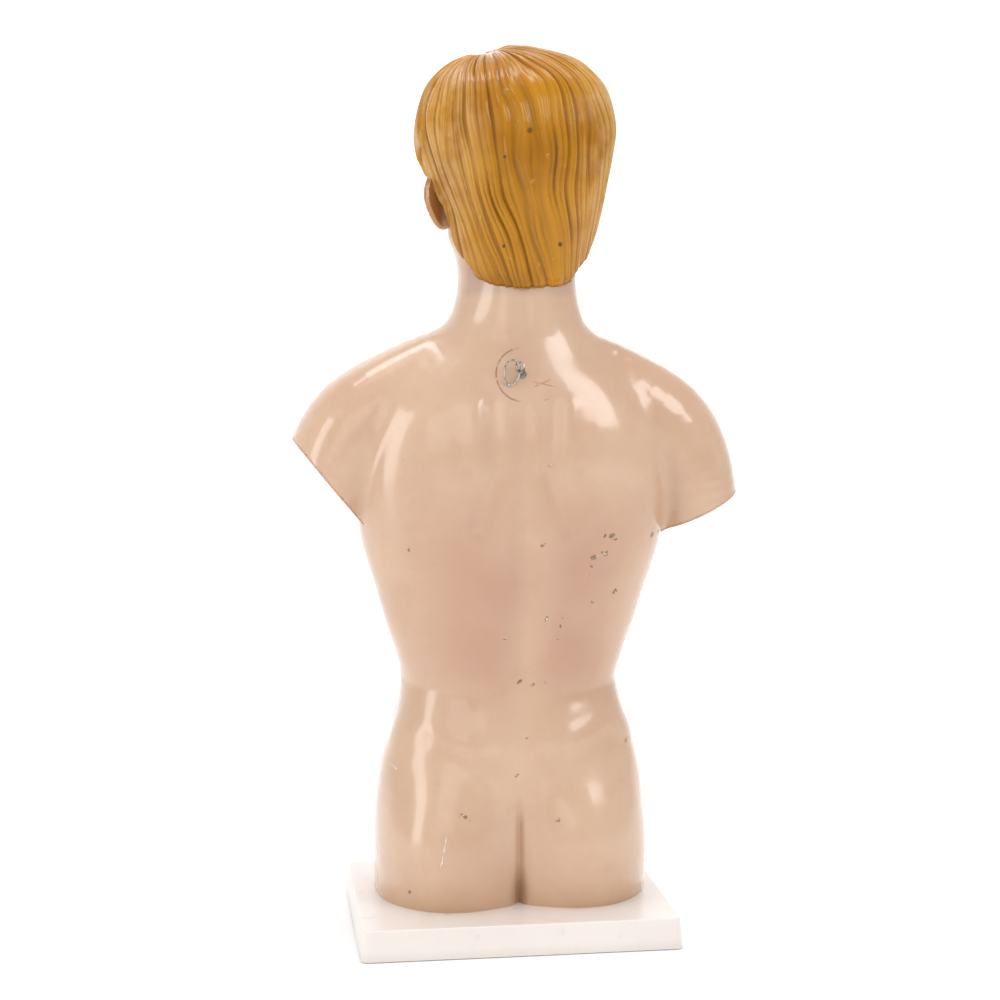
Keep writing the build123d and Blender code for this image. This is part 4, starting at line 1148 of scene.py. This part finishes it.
def plain_material(name, a, b, rough, metal=0.0, scale=60.0, bump=0.25, bscale=180.0, dist=0.0003):
    m, nt, bsdf = new_mat(name)
    N = Nodes(nt)
    col = N.mix(N.step(N.noise(scale, 5.0), 0.38, 0.66), a, b)
    nt.links.new(col, bsdf.inputs["Base Color"])
    nt.links.new(N.math("ADD", rough, N.math("MULTIPLY", N.noise(scale * 2.3), 0.16), clamp=True), bsdf.inputs["Roughness"])
    nt.links.new(N.bump(N.noise(bscale, 3.0), dist, bump, bsdf), bsdf.inputs["Normal"])
    bsdf.inputs["Metallic"].default_value = metal
    return m


def base_material():
    m, nt, bsdf = new_mat("base_plastic")
    N = Nodes(nt)
    x, y, z = N.split()
    col = N.mix(N.step(N.noise(11.0, 5.0), 0.35, 0.7), (0.85, 0.785, 0.745), (0.80, 0.73, 0.68))
    dirt = N.step(N.noise(85.0, 6.0, 0.7), 0.58, 0.74)
    # darker towards the bottom edge: painted shade where the plate meets the floor, mixed with the noise dirt
    low = N.step(z, 0.007, 0.0005)
    col = N.mix(N.math("MULTIPLY", N.math("ADD", N.math("MULTIPLY", dirt, 0.35), N.math("MULTIPLY", low, 0.25)), 1.0, clamp=True),
                col, (0.52, 0.47, 0.38))
    v = nt.nodes.new("ShaderNodeTexVoronoi")
    v.inputs["Scale"].default_value = 48.0
    N.link(N.coord, v.inputs["Vector"])
    scuff = N.math("MULTIPLY", N.step(v.outputs["Distance"], 0.10, 0.05), N.step(N.noise(17.0), 0.50, 0.6))
    col = N.mix(N.math("MULTIPLY", scuff, 0.12), col, (0.50, 0.46, 0.40))
    nt.links.new(col, bsdf.inputs["Base Color"])
    r = N.math("ADD", 0.26, N.math("MULTIPLY", N.noise(50.0, 4.0), 0.14))
    nt.links.new(N.math("ADD", r, N.math("MULTIPLY", dirt, 0.2), clamp=True), bsdf.inputs["Roughness"])
    b1 = N.bump(N.noise(42.0, 3.0), 0.0006, 0.30, bsdf)
    nt.links.new(N.bump(N.math("SUBTRACT", 1.0, scuff), 0.0002, 0.5, bsdf, b1), bsdf.inputs["Normal"])
    bsdf.inputs["Coat Weight"].default_value = 0.15
    return m


def hair_attribute(ob):
    att = ob.data.attributes.new("groove", "FLOAT", "POINT")
    val = np.zeros(len(ob.data.vertices), np.float32)
    # strength of the painted shade in the grooves between locks and along the parting
    groove_shade_val = (0.75 * a1 * np.clip((0.70 - locks) / 0.6, 0, 1) + 0.55 * a2 * np.clip((0.65 - mid) / 0.6, 0, 1)
          + 0.30 * a3 * np.clip((0.6 - fine) / 0.5, 0, 1) + 0.35 * np.clip(-tuft, 0, 0.5))
    groove_shade_val = np.clip(groove_shade_val, 0, 1) * (0.25 + 0.75 * env)
    groove_shade_val = np.maximum(groove_shade_val, 0.9 * np.exp(-(groove / 2.4) ** 2) * (pos[..., 2] > 462))
    val[1:1 + NS * NPHI] = groove_shade_val.ravel()
    att.data.foreach_set("value", val)


hair_attribute(hair)
SKIN, SKIN_CUT, HAIRM, BASEM = skin_material("skin_paint"), skin_material("skin_cut", True), hair_material(), base_material()


def dress(ob, mat):
    ob.data.materials.clear()
    ob.data.materials.append(mat)


dress(back, SKIN)
dress(front, SKIN)
for c in caps:
    dress(c, SKIN_CUT)
dress(hair, HAIRM)
STEEL = plain_material("zinc_steel", (0.55, 0.55, 0.53), (0.40, 0.40, 0.39), 0.28, 1.0)
CHROME = plain_material("chrome_wire", (0.50, 0.47, 0.44), (0.22, 0.17, 0.13), 0.14, 1.0, 160.0, 0.15, 300.0)
BRASS = plain_material("brass_insert", (0.66, 0.47, 0.17), (0.52, 0.35, 0.11), 0.30, 1.0)
RUBBER = plain_material("rubber_foot", (0.035, 0.035, 0.035), (0.06, 0.058, 0.055), 0.62)
BLOCKM = plain_material("hardwood", (0.45, 0.29, 0.15), (0.33, 0.19, 0.09), 0.55, 0.0, 40.0, 0.4, 120.0)
CLOSURE = plain_material("closure_plastic", (0.50, 0.48, 0.45), (0.42, 0.40, 0.37), 0.42)
DOWEL = plain_material("nylon_dowel", (0.80, 0.78, 0.70), (0.72, 0.69, 0.60), 0.38)
for node, mat in (("base_plate", BASEM), ("base_feet", RUBBER), ("base_screws", STEEL), ("base_washers", STEEL),
                  ("base_inserts", BRASS), ("closure_screws", STEEL), ("bottom_closure", CLOSURE),
                  ("seam_dowels", DOWEL), ("hanger_block", BLOCKM), ("hanger_washer", STEEL), ("hanger_nut", STEEL),
                  ("hanger_eye", CHROME), ("hanger_ring", CHROME)):
    if node in bpy.data.objects:
        dress(bpy.data.objects[node], mat)

# ------------------------------------------------------------------ stage
fm, fnt, fb = new_mat("pale_floor")
fb.inputs["Base Color"].default_value = (0.93, 0.93, 0.93, 1)
fb.inputs["Roughness"].default_value = 0.75
R, W = 0.5, 3.2
prof = [(1.8, 0.0), (-0.9, 0.0)] + [(-0.9 - R * math.sin(t), R - R * math.cos(t)) for t in np.linspace(0, math.pi / 2, 14)[1:]] + [(-1.4, 3.0)]
fv = [(sx * W, yy, zz) for yy, zz in prof for sx in (-1, 1)]
ff = [(2 * i, 2 * i + 1, 2 * i + 3, 2 * i + 2) for i in range(len(prof) - 1)]
fme = bpy.data.meshes.new("sweep")
fme.from_pydata(fv, [], ff)
fme.polygons.foreach_set("use_smooth", [True] * len(fme.polygons))
floor = bpy.data.objects.new("sweep", fme)
bpy.context.scene.collection.objects.link(floor)
fme.materials.append(fm)

world = bpy.data.worlds.new("studio")
bpy.context.scene.world = world
world.use_nodes = True
bg = world.node_tree.nodes["Background"]
bg.inputs["Color"].default_value = (0.98, 0.99, 1.0, 1)
bg.inputs["Strength"].default_value = 0.56


def area(name, loc, target, sx, sy, power, tint=(1, 1, 1)):
    li = bpy.data.lights.new(name, "AREA")
    li.shape = "RECTANGLE"
    li.size, li.size_y = sx, sy
    li.energy = power
    li.color = tint
    ob = bpy.data.objects.new(name, li)
    ob.location = loc
    d = np.array(target, float) - np.array(loc, float)
    ob.rotation_euler = Vector(d).to_track_quat("-Z", "Y").to_euler()
    bpy.context.scene.collection.objects.link(ob)
    return ob


area("softbox_right", (-1.15, 1.25, 1.25), (0.0, 0.0, 0.30), 0.95, 0.75, 11.0)
area("strip_left", (1.25, 0.55, 0.55), (0.0, 0.0, 0.25), 0.42, 1.1, 5.0)
area("top_fill", (0.1, 0.2, 1.9), (0.0, 0.0, 0.3), 1.3, 1.3, 5.0)
area("camera_fill", (0.55, 1.6, 0.75), (0.0, 0.0, 0.28), 0.9, 0.9, 2.2)
area("backdrop_glow", (0.0, -0.2, 2.2), (0.0, -1.4, 0.6), 2.2, 0.8, 24.0)
area("front_fill", (-0.5, -1.3, 0.9), (0.0, 0.0, 0.3), 0.9, 0.9, 2.5)

cam = bpy.data.cameras.new("cam")
cam.lens = 70.3
cam.sensor_width = 36.0
cam.sensor_fit = "HORIZONTAL"
cam.clip_start, cam.clip_end = 0.02, 20.0
camo = bpy.data.objects.new("cam", cam)
bpy.context.scene.collection.objects.link(camo)
camo.location = (0.1554, 1.0979, 0.3546)
tilt = math.radians(5.66)
look = Vector((-0.1367 * math.cos(tilt), -0.9906 * math.cos(tilt), -math.sin(tilt)))
camo.rotation_euler = look.to_track_quat("-Z", "Y").to_euler()
bpy.context.scene.camera = camo
bpy.context.scene.view_settings.view_transform = "Standard"
